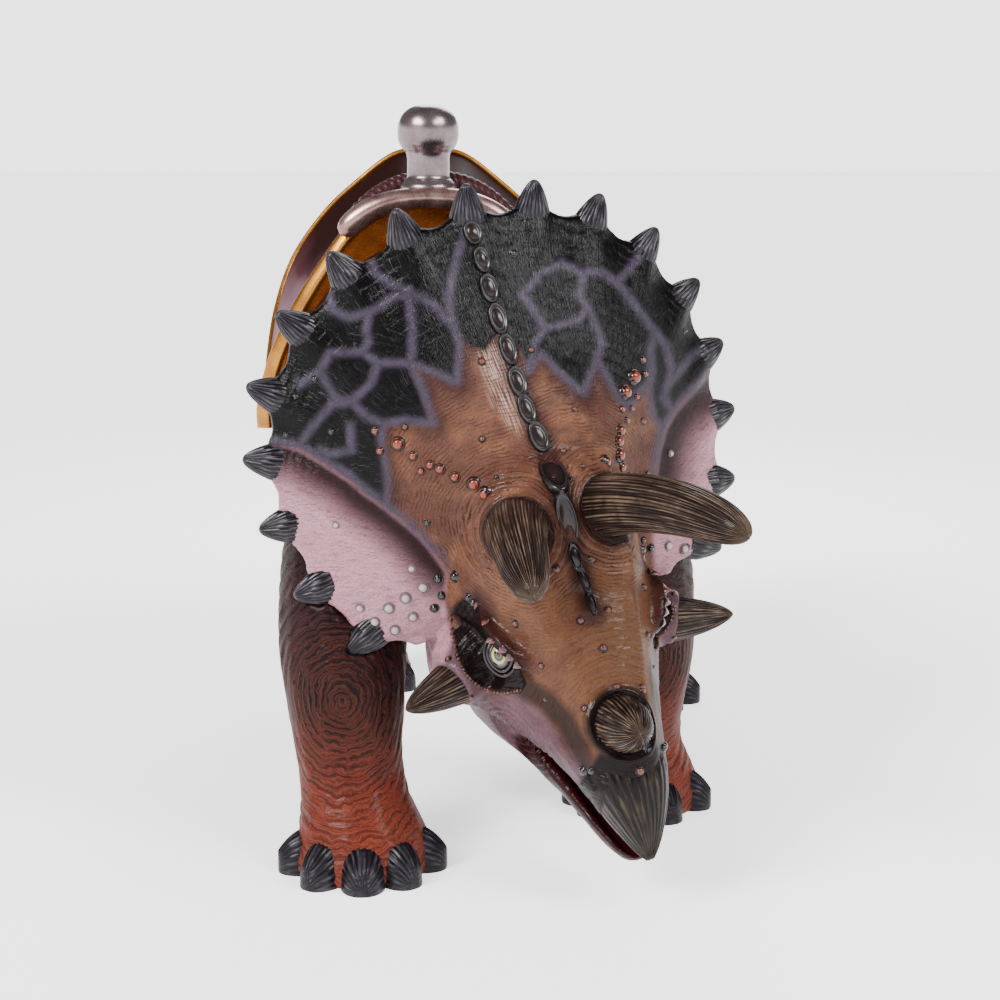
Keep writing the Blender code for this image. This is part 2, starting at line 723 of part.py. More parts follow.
def build_saddle_shell(torso, finish):
    """The leather seat and flaps, from the front edge back to the flared cantle."""
    tree = BVHTree.FromObject(torso, bpy.context.evaluated_depsgraph_get())
    count, steps = 11, 6
    front = saddle_curve(FRONT_EDGE, count)
    rear = saddle_curve(REAR_RIM, count)
    wide = len(front)
    axis = np.array((SADDLE_X, -0.02, 0.60))
    top = []
    for s in np.linspace(0, 1, steps):
        line = front + (rear - front) * s
        inward = axis - line
        inward[:, 1] = 0
        inward /= np.linalg.norm(inward, axis=1, keepdims=True)
        crown = np.cos(np.linspace(-1, 1, wide) * math.pi / 2) ** 1.2
        line = line + inward * (SEAT_SAG * crown * math.sin(math.pi * s**0.85))[:, None]
        if 0 < s < 1:
            for i, point in enumerate(line):
                out = -inward[i]
                far = (point - axis) @ out
                need = trunk_reach(tree, axis[0], axis[2], point) + FLAP_THICK
                if far < need:
                    line[i] = point + out * (need - far)
        top.append(line)
    points, faces = [], []
    for line in top:
        points += list(line)
    for line in top:
        inner = axis + (line - axis) * (0.62, 1.0, 0.62)
        inner[:, 1] = line[:, 1] * 0.86 - 0.006
        points += list(inner)
    half = steps * wide
    for r in range(steps - 1):
        for i in range(wide - 1):
            a, b = r * wide + i, r * wide + i + 1
            faces.append((a, b, b + wide, a + wide))
            faces.append((half + a + wide, half + b + wide, half + b, half + a))
    last = (steps - 1) * wide
    for i in range(wide - 1):
        faces.append((i + 1, i, half + i, half + i + 1))
        faces.append((last + i, last + i + 1, half + last + i + 1, half + last + i))
    for i in (0, wide - 1):
        for r in range(steps - 1):
            a, b = r * wide + i, (r + 1) * wide + i
            faces.append((a, b, half + b, half + a))
    return new_object("saddle_seat", points, faces, finish)


def build_fork(finish):
    """The metal arch at the front of the saddle."""
    path = []
    for a in np.linspace(-1, 1, 15):
        drop_by = FORK_DROP * (0.35 * a**2 + 0.65 * abs(a) ** 3.2)
        path.append((SADDLE_X + FORK_HALF * a, FORK_Y - 0.012, FORK_TOP - drop_by))
    radii = [FORK_RADIUS * (0.74 + 0.26 * abs(a)) * (1 - 0.45 * abs(a) ** 8)
             for a in np.linspace(-1, 1, 15)]
    return tube("saddle_fork", path, radii, 10, 1.0, finish)


def build_saddle_horn(finish):
    """The knob that a rider holds, turned about an upright axis."""
    rings = []
    for radius, height in HORN_PROFILE:
        rings.append([Vector((SADDLE_X + radius * math.cos(a), FORK_Y + 0.02 + radius * math.sin(a),
                              FORK_TOP + 0.004 + height))
                      for a in np.linspace(0, 2 * math.pi, 18, endpoint=False)])
    return skin_rings("saddle_horn", rings, finish)


def build_rope(finish):
    """The braided roll that lies behind the fork, with the swell of each strand."""
    path, radii = [], []
    steps = 25
    for i, a in enumerate(np.linspace(-1, 1, steps)):
        drop_by = 0.076 * (0.5 * a**2 + 0.5 * abs(a) ** 3)
        path.append((SADDLE_X + 0.005 + 0.135 * a, FORK_Y + 0.045 + 0.01 * a * a, 0.966 - drop_by))
        radii.append(ROPE_RADIUS * (1.0 if i % 2 else 0.86))
    return tube("saddle_rope", path, radii, 7, 1.0, finish)


def edge_trim(name, rows, radius, finish):
    """A rounded metal bead along an edge of the saddle."""
    path = saddle_curve(rows, 13)
    return tube(name, path, [radius] * len(path), 7, 1.0, finish)


def build_girth(torso, finish):
    """The strap that holds the saddle, from flap to flap under the belly."""
    band = grown(torso, GIRTH_THICK)
    band.name = "girth"
    slab = block("slab", (SADDLE_X, GIRTH_Y, 0.30), (0.9, GIRTH_WIDE, 0.74))
    boolean(band, slab, "INTERSECT")
    drop(slab)
    keep_largest(band)
    band.data.materials.clear()
    band.data.materials.append(finish)
    return band


def add_scutes(head, frill):
    """Raised ovals down the middle of the frill and the brow."""
    rows = spline([(0.0, 0.300, 0.340), (0.0, 0.200, 0.288), (0.0, 0.080, 0.232), (0.0, 0.0, 0.205),
                   (0.0, -0.060, 0.172), (0.0, -0.115, 0.128), (0.0, -0.180, 0.086)], SCUTES)
    tangents = np.gradient(rows, axis=0)
    on_frill, on_head = [], []
    for p, t in zip(rows, tangents):
        t = Vector(t).normalized()
        shape = bmesh.new()
        bmesh.ops.create_icosphere(shape, subdivisions=1, radius=1.0)
        up = Vector((1, 0, 0)).cross(t).normalized()
        if up.z < 0:
            up = -up
        frame = Matrix((Vector((1, 0, 0)), t, up)).transposed().to_4x4()
        size = Matrix.Diagonal((0.011, 0.017, 0.010, 1.0))
        shape.transform(HEAD @ Matrix.Translation(Vector(p)) @ frame @ size)
        mesh = bpy.data.meshes.new("scute")
        shape.to_mesh(mesh)
        shape.free()
        made = bpy.data.objects.new("scute", mesh)
        bpy.context.scene.collection.objects.link(made)
        (on_frill if p[1] > 0.035 else on_head).append(made)
    fuse(frill, on_frill)
    fuse(head, on_head)


def settle():
    """Shifts everything so that the origin is under the middle of the statue, on the floor."""
    low = Vector((9, 9, 9))
    high = -low
    for obj in bpy.data.objects:
        for vert in obj.data.vertices:
            low = Vector(map(min, low, vert.co))
            high = Vector(map(max, high, vert.co))
    shift = Vector((-(low.x + high.x) / 2, -(low.y + high.y) / 2, -FLOOR))
    for obj in bpy.data.objects:
        obj.data.transform(Matrix.Translation(shift))


def main():
    for obj in list(bpy.data.objects):
        bpy.data.objects.remove(obj)
    skin = material("painted_skin", (0.30, 0.12, 0.08), 0.45)
    dark = material("painted_frill", (0.05, 0.045, 0.05), 0.35)
    keratin = material("painted_horn", (0.13, 0.11, 0.09), 0.40)
    eye = material("glossy_eye", (0.65, 0.55, 0.20), 0.10)
    leather = material("painted_leather", (0.22, 0.13, 0.13), 0.35)
    gold = material("gold_paint", (0.72, 0.45, 0.12), 0.30, 0.8)
    silver = material("silver_paint", (0.55, 0.50, 0.50), 0.30, 0.8)

    head = build_head(skin)
    frill = build_frill(dark)
    add_scutes(head, frill)
    carve(frill, head)
    jaw = build_jaw(keratin)
    carve(jaw, head)
    beak = build_beak(keratin)
    carve(beak, head)
    carve(jaw, beak)
    for side, word in ((-1, "right"), (1, "left")):
        made = horn(f"brow_horn_{word}", mirror_point(BROW_BASE, side), mirror_point(BROW_TIP, side),
                    mirror_point(BROW_BOW, side), BROW_RADIUS, 4.2, keratin, taper=0.12)
        carve(made, head, frill)
        made = horn(f"cheek_horn_{word}", mirror_point(CHEEK_BASE, side),
                    mirror_point(CHEEK_TIP, side), Vector((0, 0, 0)), CHEEK_RADIUS, 1.8, keratin,
                    14, 8)
        carve(made, head, frill)
        ball = build_eye(side, eye)
        carve(head, ball)
    made = horn("nose_horn", NOSE_BASE, NOSE_TIP, Vector((0, 0, 0)), NOSE_RADIUS, 2.4, keratin)
    carve(made, head)

    parts = build_body(skin)
    add_hooves(parts)
    for name in ("neck", "torso", "front_leg_left", "front_leg_right"):
        carve(parts[name], head, frill, jaw, gap=BODY_GAP)

    torso = parts["torso"]
    seat = build_saddle_shell(torso, leather)
    front_trim = edge_trim("saddle_front_trim", FRONT_EDGE, TRIM_FRONT, gold)
    rear_trim = edge_trim("saddle_rear_trim", REAR_RIM, TRIM_REAR, gold)
    fork = build_fork(silver)
    saddle_horn = build_saddle_horn(silver)
    rope = build_rope(leather)
    carve(rear_trim, front_trim)
    carve(front_trim, torso, fork, saddle_horn)
    carve(rear_trim, torso)
    carve(saddle_horn, fork)
    carve(rope, saddle_horn, fork)
    carve(seat, torso, front_trim, rear_trim, fork, saddle_horn, rope)
    girth = build_girth(torso, leather)
    carve(girth, torso, seat, front_trim, rear_trim)
    for obj in bpy.data.objects:
        obj.data.shade_smooth()
        obj.data.set_sharp_from_angle(angle=math.radians(40))
    settle()


main()
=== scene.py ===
"""Dresses the saddled horned dinosaur: a moulded glass-fibre statue with painted, varnished skin."""

import math

import bmesh
import bpy
import numpy as np
from bpy.props import FloatProperty, FloatVectorProperty, PointerProperty
from mathutils import Matrix, Vector, noise
from mathutils.bvhtree import BVHTree
from mathutils.kdtree import KDTree


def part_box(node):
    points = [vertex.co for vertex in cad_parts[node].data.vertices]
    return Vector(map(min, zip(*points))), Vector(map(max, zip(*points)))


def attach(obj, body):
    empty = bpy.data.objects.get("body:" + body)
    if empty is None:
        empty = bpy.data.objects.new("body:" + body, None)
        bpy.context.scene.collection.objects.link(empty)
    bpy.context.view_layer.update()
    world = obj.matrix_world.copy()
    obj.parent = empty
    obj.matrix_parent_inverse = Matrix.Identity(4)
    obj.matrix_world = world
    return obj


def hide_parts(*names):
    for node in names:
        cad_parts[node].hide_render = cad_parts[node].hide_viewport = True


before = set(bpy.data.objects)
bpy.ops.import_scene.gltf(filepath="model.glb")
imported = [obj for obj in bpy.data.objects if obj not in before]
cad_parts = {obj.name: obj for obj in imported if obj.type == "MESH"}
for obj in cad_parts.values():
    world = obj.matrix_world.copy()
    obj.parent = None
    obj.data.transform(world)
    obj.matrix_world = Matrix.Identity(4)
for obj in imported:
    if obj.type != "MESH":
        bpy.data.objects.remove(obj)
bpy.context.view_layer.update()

bl_info = {
    "name": "Saddled horned dinosaur",
    "version": (1, 0, 0),
    "blender": (4, 5, 0),
    "location": "3D View > Sidebar > Statue",
    "description": "Builds the painted skin, horns, spikes, hooves and saddle of the statue",
    "category": "Object",
}

# The shift from the frame in which head, feet and saddle are drawn, and the head's place
SADDLE_X, HORN_Y = -0.100, -0.180
_low, _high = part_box("saddle_horn")
SHIFT = Vector(((_low.x + _high.x) / 2 - SADDLE_X, (_low.y + _high.y) / 2 - HORN_Y, 0.0))
HEAD = (Matrix.Translation(Vector((0.049, -0.467, 0.464)) + SHIFT)
        @ Matrix.Rotation(math.radians(24.9), 4, "Z")
        @ Matrix.Rotation(math.radians(37.7), 4, "X")
        @ Matrix.Rotation(math.radians(-13.7), 4, "Y"))
HEAD_BACK = HEAD.inverted()
SADDLE_MIDDLE = SADDLE_X + SHIFT.x
# Carries a thing on one side of the head to its other side
MIRROR = HEAD @ Matrix.Diagonal((-1, 1, 1, 1)) @ HEAD_BACK

# The camera's place and aim, for a square picture 1000 points wide
CAMERA_AT = Vector((-0.10, -2.90, 1.02)) + SHIFT
YAW, PITCH = math.radians(2.3), math.radians(11.3)
LENS, SENSOR, PICTURE = 63.07, 36.0, 1000.0

# The studio is bright, so that the paints are mixed darker and stronger than they look
DEPTH = 0.575
STRENGTH = 1.25

# Frill rim and the line on the skull that it grows from, crown to cheek, in the head's frame
FRILL_RIM = [
    (0.000, 0.322, 0.350), (0.093, 0.317, 0.338), (0.180, 0.303, 0.305),
    (0.254, 0.276, 0.250), (0.306, 0.235, 0.180), (0.330, 0.182, 0.108),
    (0.329, 0.120, 0.040), (0.306, 0.048, -0.022), (0.258, -0.020, -0.070),
    (0.185, -0.050, -0.078),
]
FRILL_ROOT = [
    (0.000, 0.000, 0.160), (0.042, 0.000, 0.155), (0.072, 0.002, 0.145),
    (0.092, 0.004, 0.125), (0.104, 0.004, 0.095), (0.110, 0.000, 0.065),
    (0.113, -0.010, 0.035), (0.115, -0.020, 0.002), (0.115, -0.032, -0.032),
    (0.112, -0.042, -0.062),
]
SPIKE_TIPS = [
    (0.000, 0.339, 0.395), (0.102, 0.335, 0.380), (0.201, 0.322, 0.340),
    (0.285, 0.295, 0.276), (0.344, 0.250, 0.197), (0.370, 0.193, 0.115),
    (0.370, 0.125, 0.039), (0.345, 0.047, -0.028), (0.295, -0.031, -0.084),
]
# One spike: share of its length, radius
SPIKE_PROFILE = [(-0.45, 1.10), (0.0, 1.08), (0.2, 0.98), (0.4, 0.84), (0.64, 0.64), (0.82, 0.44),
                 (0.93, 0.28), (0.985, 0.13), (1.0, 0.02)]
# Lower jaw: y, half width, rim z, chin z. Upper beak: y, half width, crown z, edge z
JAW = [
    (-0.421, 0.010, -0.168, -0.184), (-0.404, 0.027, -0.165, -0.199),
    (-0.360, 0.045, -0.161, -0.207), (-0.305, 0.061, -0.155, -0.214),
    (-0.250, 0.080, -0.147, -0.222), (-0.205, 0.096, -0.132, -0.239),
    (-0.150, 0.122, -0.108, -0.266), (-0.090, 0.140, -0.100, -0.286),
    (-0.030, 0.138, -0.100, -0.276), (0.020, 0.105, -0.120, -0.235),
]
BEAK = [
    (-0.330, 0.058, -0.015, -0.136), (-0.375, 0.047, -0.033, -0.139),
    (-0.408, 0.032, -0.064, -0.142), (-0.430, 0.018, -0.100, -0.145),
    (-0.442, 0.006, -0.132, -0.146),
]
# Horns in the head's frame: base, tip, bow, radius, bluntness, narrowing and the end's roundness
BROW_HORN = ((0.058, -0.050, 0.128), (0.142, -0.280, 0.311), (0.004, 0.012, 0.014), 0.044, 8.0, 0.34, 0.5)
CHEEK_HORN = ((0.120, -0.112, -0.088), (0.250, -0.157, -0.067), (0, 0, 0), 0.037, 1.8, 0, 0.62)
NOSE_HORN = ((0.0, -0.300, -0.012), (0.0, -0.354, 0.042), (0, 0, 0), 0.038, 2.4, 0, 0.62)
EYE_AT, EYE_RADIUS = Vector((0.106, -0.150, -0.004)), 0.0195
MOUTH_CORNER = (0.106, -0.209, -0.131)
# Ridges of the skull that are smoothed into the frill, in the head's frame
CREST = [(0, 0.300, 0.340), (0, 0.200, 0.288), (0, 0.080, 0.232), (0, 0, 0.205), (0, -0.060, 0.172),
         (0, -0.115, 0.128), (0, -0.180, 0.086)]
BROW_RIDGE = [(0.088, -0.205, 0.018), (0.112, -0.178, 0.030), (0.126, -0.140, 0.034),
              (0.132, -0.100, 0.024)]

# Feet: heading in degrees, hoof angles about it; the foot's middle and radius at the floor
FEET = {
    "front_right": (2.0, (-80, -40, 0, 36, 78), (-0.203, -0.490), 0.103),
    "front_left": (-14.0, (-74, -38, 0, 36, 84), (0.225, -0.252), 0.099),
    "hind_left": (12.0, (-60, -20, 20, 60), (0.290, 0.285), 0.098),
    "hind_right": (-4.0, (-60, -20, 20, 60), (-0.235, 0.405), 0.098),
}
# Middles of the knees' rings of wrinkles, and the wrinkles' spacing there and elsewhere
KNEES = [(-0.226, -0.535, 0.262), (0.222, -0.345, 0.262), (0.262, 0.380, 0.300),
         (-0.226, 0.495, 0.300)]
KNEE_SPACING, LEG_SPACING = 0.0095, 0.0170

# Saddle lines of one side, crown to tip: out from the saddle's plane, y, z
FRONT_EDGE = [
    (0.000, -0.205, 0.945), (0.060, -0.205, 0.936), (0.115, -0.204, 0.902),
    (0.156, -0.203, 0.850), (0.203, -0.200, 0.776), (0.238, -0.195, 0.702),
    (0.258, -0.180, 0.632), (0.262, -0.150, 0.590),
]
REAR_RIM = [
    (0.000, 0.175, 1.022), (0.060, 0.172, 1.012), (0.125, 0.165, 0.964),
    (0.179, 0.150, 0.913), (0.230, 0.120, 0.840), (0.257, 0.070, 0.759),
    (0.266, 0.000, 0.680), (0.265, -0.075, 0.605),
]
# Saddle horn: radius, height above its foot
HORN_PROFILE = [
    (0.0380, -0.010), (0.0430, 0.002), (0.0430, 0.014), (0.0375, 0.022), (0.0330, 0.028),
    (0.0322, 0.044), (0.0328, 0.060), (0.0385, 0.0695), (0.0445, 0.079), (0.0466, 0.093),
    (0.0450, 0.108), (0.0385, 0.121), (0.0270, 0.1305), (0.013, 0.1345), (0.002, 0.135),
]

# Outlines of the painted zones as they stand in the picture, in its points
NIGHT = [
    (255, 445), (299, 447), (325, 462), (348, 477), (365, 491), (386, 506), (388, 480), (381, 445),
    (385, 425), (432, 425), (411, 364), (457, 383), (458, 343), (486, 352), (500, 330), (520, 350),
    (529, 372), (541, 356), (575, 388), (582, 394), (598, 360), (615, 392), (627, 408), (644, 387),
    (650, 378), (650, 395), (654, 418), (662, 430), (673, 410), (693, 387), (713, 367), (740, 350),
    (800, 300), (700, 100), (450, 100), (200, 250), (180, 460),
]
ROSE_LEFT = [
    (262, 440), (299, 450), (325, 465), (348, 480), (365, 494), (386, 509), (403, 523), (420, 537),
    (432, 552), (446, 572), (444, 600), (452, 640), (430, 700), (200, 740), (180, 440),
]
ROSE_RIGHT = [
    (740, 350), (722, 362), (713, 369), (693, 390), (675, 413), (665, 430), (659, 452), (655, 480),
    (652, 500), (655, 590), (700, 600), (790, 520), (790, 350),
]
VEINS = [
    [(268, 439), (299, 445), (325, 460), (348, 474), (365, 489), (386, 504), (403, 517), (420, 532),
     (434, 548), (449, 563)],
    [(386, 504), (388, 481), (385, 460), (381, 440), (384, 424), (404, 420), (434, 424), (424, 393),
     (411, 364), (430, 371), (457, 383), (460, 345), (452, 326)],
    [(411, 364), (402, 363), (378, 363), (362, 352), (330, 353), (320, 372), (300, 385)],
    [(411, 364), (412, 330), (409, 300), (409, 295)],
    [(452, 326), (435, 306), (420, 297), (405, 290), (392, 285), (375, 272), (372, 262)],
    [(409, 295), (396, 296), (383, 304), (370, 312), (366, 330), (368, 342), (362, 352)],
    [(370, 312), (350, 318), (332, 310), (328, 288), (322, 278)],
    [(452, 326), (449, 300), (452, 275), (459, 250), (465, 235)],
    [(352, 402), (332, 405), (318, 420), (299, 445)],
    [(352, 402), (365, 415), (384, 424)], [(352, 402), (372, 382), (378, 363)],
    [(352, 402), (335, 398), (320, 372)], [(320, 450), (330, 455), (352, 450), (350, 425)],
    [(528, 372), (541, 356), (558, 372), (575, 388), (584, 394), (596, 361), (606, 376), (613, 390)],
    [(528, 372), (535, 345), (545, 330), (533, 310), (522, 295), (540, 275), (562, 262), (580, 272)],
    [(545, 330), (560, 325), (580, 320), (588, 308), (578, 295), (584, 275)],
    [(596, 361), (602, 345), (597, 330), (588, 308)],
    [(613, 390), (627, 408), (636, 395), (644, 387), (652, 380), (650, 350), (655, 330)],
    [(580, 272), (600, 272), (618, 282), (635, 305), (650, 325), (665, 345), (672, 370), (668, 385)],
    [(618, 282), (630, 268), (640, 255)], [(652, 372), (649, 392), (653, 418), (662, 428)],
    [(668, 385), (690, 358), (705, 345), (718, 335)],
    [(730, 355), (713, 367), (693, 388), (673, 411), (663, 428), (657, 450), (653, 474)],
    [(673, 411), (664, 398), (668, 385)], [(650, 350), (652, 372)],
]
# The veins that the rose corners fade from, and those that the tan field fades from
CORNER_VEINS, FIELD_VEINS = (0, 22), (1, 13)
SCUTE_LINE = [(470, 222), (472, 233), (480.5, 258), (488.5, 289), (498, 317), (509, 351), (516, 378),
              (528, 413), (540, 439), (553.5, 472), (566, 516), (576, 557), (584, 588), (593, 614)]
PALE_CREST = [(478, 345), (500, 332), (520, 360), (528, 400), (522, 432), (508, 425), (490, 395)]
BAND = [(524, 688), (545, 700), (565, 722), (578, 745), (592, 768)]
PLUM = [(574.6, 786), (590.6, 764), (599.8, 750), (606.7, 752), (629.7, 754), (648, 749),
        (654.9, 735), (664, 722), (677, 757), (664, 778), (634, 791), (606.7, 795), (572, 795)]
MOUTH = [(512.5, 734.6), (528.6, 735.7), (535.5, 750.6), (551.6, 766.7), (574.6, 787.4),
         (583.7, 810.3), (620.5, 835.6), (650, 856), (634, 866), (600, 858), (575, 830), (550, 800),
         (530, 771), (520, 752)]
LOWER_FACE = [(425, 650), (440, 640), (452, 640), (460, 665), (475, 690), (500, 698), (522, 698),
              (542, 712), (558, 735), (572, 760), (584, 784), (570, 800), (500, 760), (400, 720)]
SOCKET = [(449.4, 609.4), (452.8, 635.8), (458.6, 658.8), (468.9, 677.1), (485, 688.6), (503.4, 693.2),
          (519.4, 692), (525.2, 684), (519.4, 670.2), (510.2, 658.8), (501, 647.3), (488.4, 633.5),
          (480.4, 617.4), (475.8, 601.3), (462, 599)]
SOCKET_RIM = SOCKET[:6] + [(521, 690)]
BROW_SCALES = [(477, 604), (485, 622), (492, 640), (503, 649), (510, 657), (518, 665)]
# Raised beads: picture place and radius, in points
DARK_BEADS = [
    (454.7, 576.5, 5), (438.4, 579.5, 4), (442, 595.6, 4), (434.5, 608.2, 4), (468.2, 597.9, 4),
    (473, 603.6, 3.5), (583, 771.3, 4.2), (590.6, 770.8, 3.2), (581.4, 785, 2.2), (513.2, 253.2, 3.5),
    (314.2, 378.8, 3), (295.3, 396.3, 2.2), (331, 432, 2.5), (286, 435, 2.5), (427, 523, 3),
    (685, 331, 2.5), (687.1, 546.9, 3), (496.3, 477.1, 2.2), (571, 480, 2.5),
]
PALE_BEADS = [
    (336, 525, 3), (411.5, 568.5, 3.5), (423, 587.1, 5), (405.7, 597.9, 5), (413.1, 616.7, 4.5),
    (389, 608, 5), (395, 630, 4.5), (375, 622, 4.5), (360, 608, 4), (670.8, 453.5, 3),
]
RUST_BEADS = [
    (563, 451, 3), (574.3, 409.2, 2.5), (602.4, 458.8, 2.5), (583, 466.3, 2.2), (530.6, 457.5, 2.2),
    (482, 439, 3), (591.8, 559.2, 3.5), (557.1, 569.4, 3.5), (607.6, 609.8, 3.5), (580.6, 620.4, 3.6),
    (603, 647.6, 4), (651.8, 635, 3), (616.3, 686.7, 3.5), (642.2, 687.3, 3), (541.2, 665.7, 3),
    (515.3, 623.9, 3.5), (584.5, 708.2, 3), (651, 572, 4), (545.1, 699.4, 2.2), (531, 350, 3),
    (481.6, 361.6, 3.5), (405, 427, 3), (643.3, 421.4, 3), (647.3, 473, 2.5), (448.2, 658.8, 3),
    (470.5, 697.1, 2.5), (640, 771.3, 4),
]
AMBER_BEADS = [
    (375, 431, 3.5), (380, 451, 3.5), (398, 444, 6), (413, 456, 4), (421, 471, 3.5), (430, 465, 4),
    (440, 469, 4.5), (455, 477, 4.5), (474, 484, 6), (485, 494, 6), (622.2, 409.2, 3.4),
    (627, 420.4, 3.6), (620.8, 430.6, 5.2), (618.8, 441.8, 5.6), (619.8, 455, 6), (621.8, 467.3, 5),
    (630, 473, 2.5), (634.3, 377.3, 7), (625.7, 392.3, 6.5), (636.7, 396.7, 3.2), (645.5, 374, 3),
    (631.7, 408.3, 3), (642.3, 421, 2.6), (643, 360, 3.2),
]
# Scutes: picture place, half width and half length, in points
SCUTES = [
    (472.5, 232.7, 7.5, 10.5), (481.6, 259.5, 6.5, 11.5), (489, 288, 7.5, 13), (497.8, 318.4, 7.5, 14),
    (507.9, 349, 7, 14), (517.4, 381.6, 7.5, 14), (526.5, 409.2, 7, 13.5), (538.6, 436.7, 8, 14),
    (553.5, 473.5, 11, 20), (566.7, 517.3, 8.5, 23.5), (575.5, 557.1, 4.8, 12.5), (584, 579.6, 4, 12),
    (591, 602, 3.4, 11),
]


class StatueSizes(bpy.types.PropertyGroup):
    """Sizes of the moulded details."""
    body_grain: FloatProperty(name="Body mesh", description="Face size of the body's skin",
                              default=0.0066, unit="LENGTH")
    head_grain: FloatProperty(name="Head mesh", description="Face size of the head's skin",
                              default=0.0033, unit="LENGTH")
    groove: FloatProperty(name="Horn grooves", description="Depth of the grooves along the horns",
                          default=0.0011, unit="LENGTH")
    wrinkle: FloatProperty(name="Wrinkles", description="Height of the moulded wrinkles",
                           default=0.0011, unit="LENGTH")
    spike_half: FloatProperty(name="Spike radius", description="Radius of a frill spike's foot",
                              default=0.0245, unit="LENGTH")
    leather: FloatProperty(name="Leather", description="Thickness of the saddle's flaps",
                           default=0.011, unit="LENGTH")


def linear(code):
    """An sRGB hex colour as linear numbers."""
    parts = [int(code[i:i + 2], 16) / 255 for i in (1, 3, 5)]
    return tuple(c / 12.92 if c <= 0.04045 else ((c + 0.055) / 1.055) ** 2.4 for c in parts)


def paint_property(name, code):
    """A colour that a user may change."""
    return FloatVectorProperty(name=name, description=f"Paint of the {name.lower()}", size=3,
                               subtype="COLOR", min=0, max=1, default=linear(code))


class StatueColours(bpy.types.PropertyGroup):
    """Paints of the statue."""
    rust: paint_property("Lower legs", "#954e3d")
    umber: paint_property("Upper legs and body", "#4d292a")
    tan: paint_property("Forehead", "#7d5a4c")
    ochre: paint_property("Snout", "#836046")
    night: paint_property("Frill patches", "#0f090e")
    vein: paint_property("Frill veins", "#5f5666")
    rose: paint_property("Frill corners", "#d4a6b2")
    maroon: paint_property("Dark fades", "#38161c")
    leather: paint_property("Saddle leather", "#a1848d")
    gold: paint_property("Saddle trim", "#b57a30")
    silver: paint_property("Saddle horn", "#85777a")


def sizes():
    """The sizes that a user may change."""
    return bpy.context.scene.statue_sizes


def colour(name):
    """A paint that a user may change, mixed as the others are."""
    shade = getattr(bpy.context.scene.statue_colours, name)
    return (*(DEPTH * c**STRENGTH for c in shade), 1.0)


def tone(code):
    """An sRGB hex colour, mixed darker and stronger."""
    return (*(DEPTH * c**STRENGTH for c in linear(code)), 1.0)


def metal_tone(code):
    """A metal paint's tint, which isn't mixed darker, because it only mirrors the studio."""
    return (*linear(code), 1.0)


def add(tree, kind, inputs=None, ramp=None, **settings):
    """Adds a node with its settings and links, and gives its first output."""
    made = tree.nodes.new("ShaderNode" + kind)
    for name, value in settings.items():
        setattr(made, name, value)
    usable = [s for s in made.inputs if s.enabled]
    for key, value in (inputs or {}).items():
        socket = usable[key] if isinstance(key, int) else next(s for s in usable if s.name == key)
        if isinstance(value, bpy.types.NodeSocket):
            tree.links.new(value, socket)
        else:
            socket.default_value = value
    if ramp:
        steps = made.color_ramp.elements
        while len(steps) < len(ramp):
            steps.new(0.5)
        for step, (place, shade) in zip(steps, ramp):
            step.position = place
            step.color = shade
    return next(s for s in made.outputs if s.enabled)


def start_material(name, roughness, metallic=0.0, coat=0.0, coat_roughness=0.12, shine=0.08):
    """A material whose shader has its fixed values set on its own sockets."""
    made = bpy.data.materials.new(name)
    made.use_nodes = True
    tree = made.node_tree
    shader = tree.nodes["Principled BSDF"]
    shader.inputs["Roughness"].default_value = roughness
    shader.inputs["Metallic"].default_value = metallic
    shader.inputs["Coat Weight"].default_value = coat
    shader.inputs["Coat Roughness"].default_value = coat_roughness
    if metallic == 0:
        shader.inputs["Specular IOR Level"].default_value = shine
    return made, tree, shader


def spline(rows, count):
    """A smooth curve through the rows, read at count even steps."""
    rows = np.array(rows, float)
    knots = np.vstack([2 * rows[0] - rows[1], rows, 2 * rows[-1] - rows[-2]])
    s = np.linspace(0, len(rows) - 1, count)
    i = np.minimum(s.astype(int), len(rows) - 2)
    t = (s - i)[:, None]
    a, b, c, d = (knots[i + k] for k in range(4))
    return 0.5 * (2 * b + (c - a) * t + (2 * a - 5 * b + 4 * c - d) * t**2
                  + (3 * b - a - 3 * c + d) * t**3)


def ease(x, low, high):
    """A smooth step from 0 at low to 1 at high."""
    t = np.clip((np.asarray(x, float) - low) / (high - low), 0, 1)
    return t * t * (3 - 2 * t)


def put(matrix, points):
    """Points moved by a matrix."""
    m = np.array(matrix)
    return np.asarray(points, float) @ m[:3, :3].T + m[:3, 3]


def read(obj, field="co"):
    """An object's vertices, or their normals, as an array."""
    out = np.empty(len(obj.data.vertices) * 3)
    obj.data.vertices.foreach_get(field, out)
    return out.reshape(-1, 3)


def write(obj, points):
    """Moves an object's vertices to new places."""
    obj.data.vertices.foreach_set("co", np.asarray(points, float).ravel())
    obj.data.update()


def store(obj, name, values):
    """Keeps a number, a vector or four numbers for each vertex, for the materials to read."""
    values = np.asarray(values, float)
    width = 1 if values.ndim == 1 else values.shape[1]
    kind, field = {1: ("FLOAT", "value"), 3: ("FLOAT_VECTOR", "vector"),
                   4: ("FLOAT_COLOR", "color")}[width]
    made = obj.data.attributes.new(name, kind, "POINT")
    made.data.foreach_set(field, values.ravel())


def clear_selection():
    """Leaves edit mode and selects nothing."""
    if bpy.context.object and bpy.context.object.mode != "OBJECT":
        bpy.ops.object.mode_set(mode="OBJECT")
    bpy.ops.object.select_all(action="DESELECT")


def choose(obj):
    """Makes an object the only selected one."""
    clear_selection()
    bpy.context.view_layer.objects.active = obj
    obj.select_set(True)


def apply_modifier(obj, kind, **settings):
    """Adds a modifier with its settings and applies it."""
    choose(obj)
    made = obj.modifiers.new(kind.lower(), kind)
    for name, value in settings.items():
        setattr(made, name, value)
    bpy.ops.object.modifier_apply(modifier=made.name)


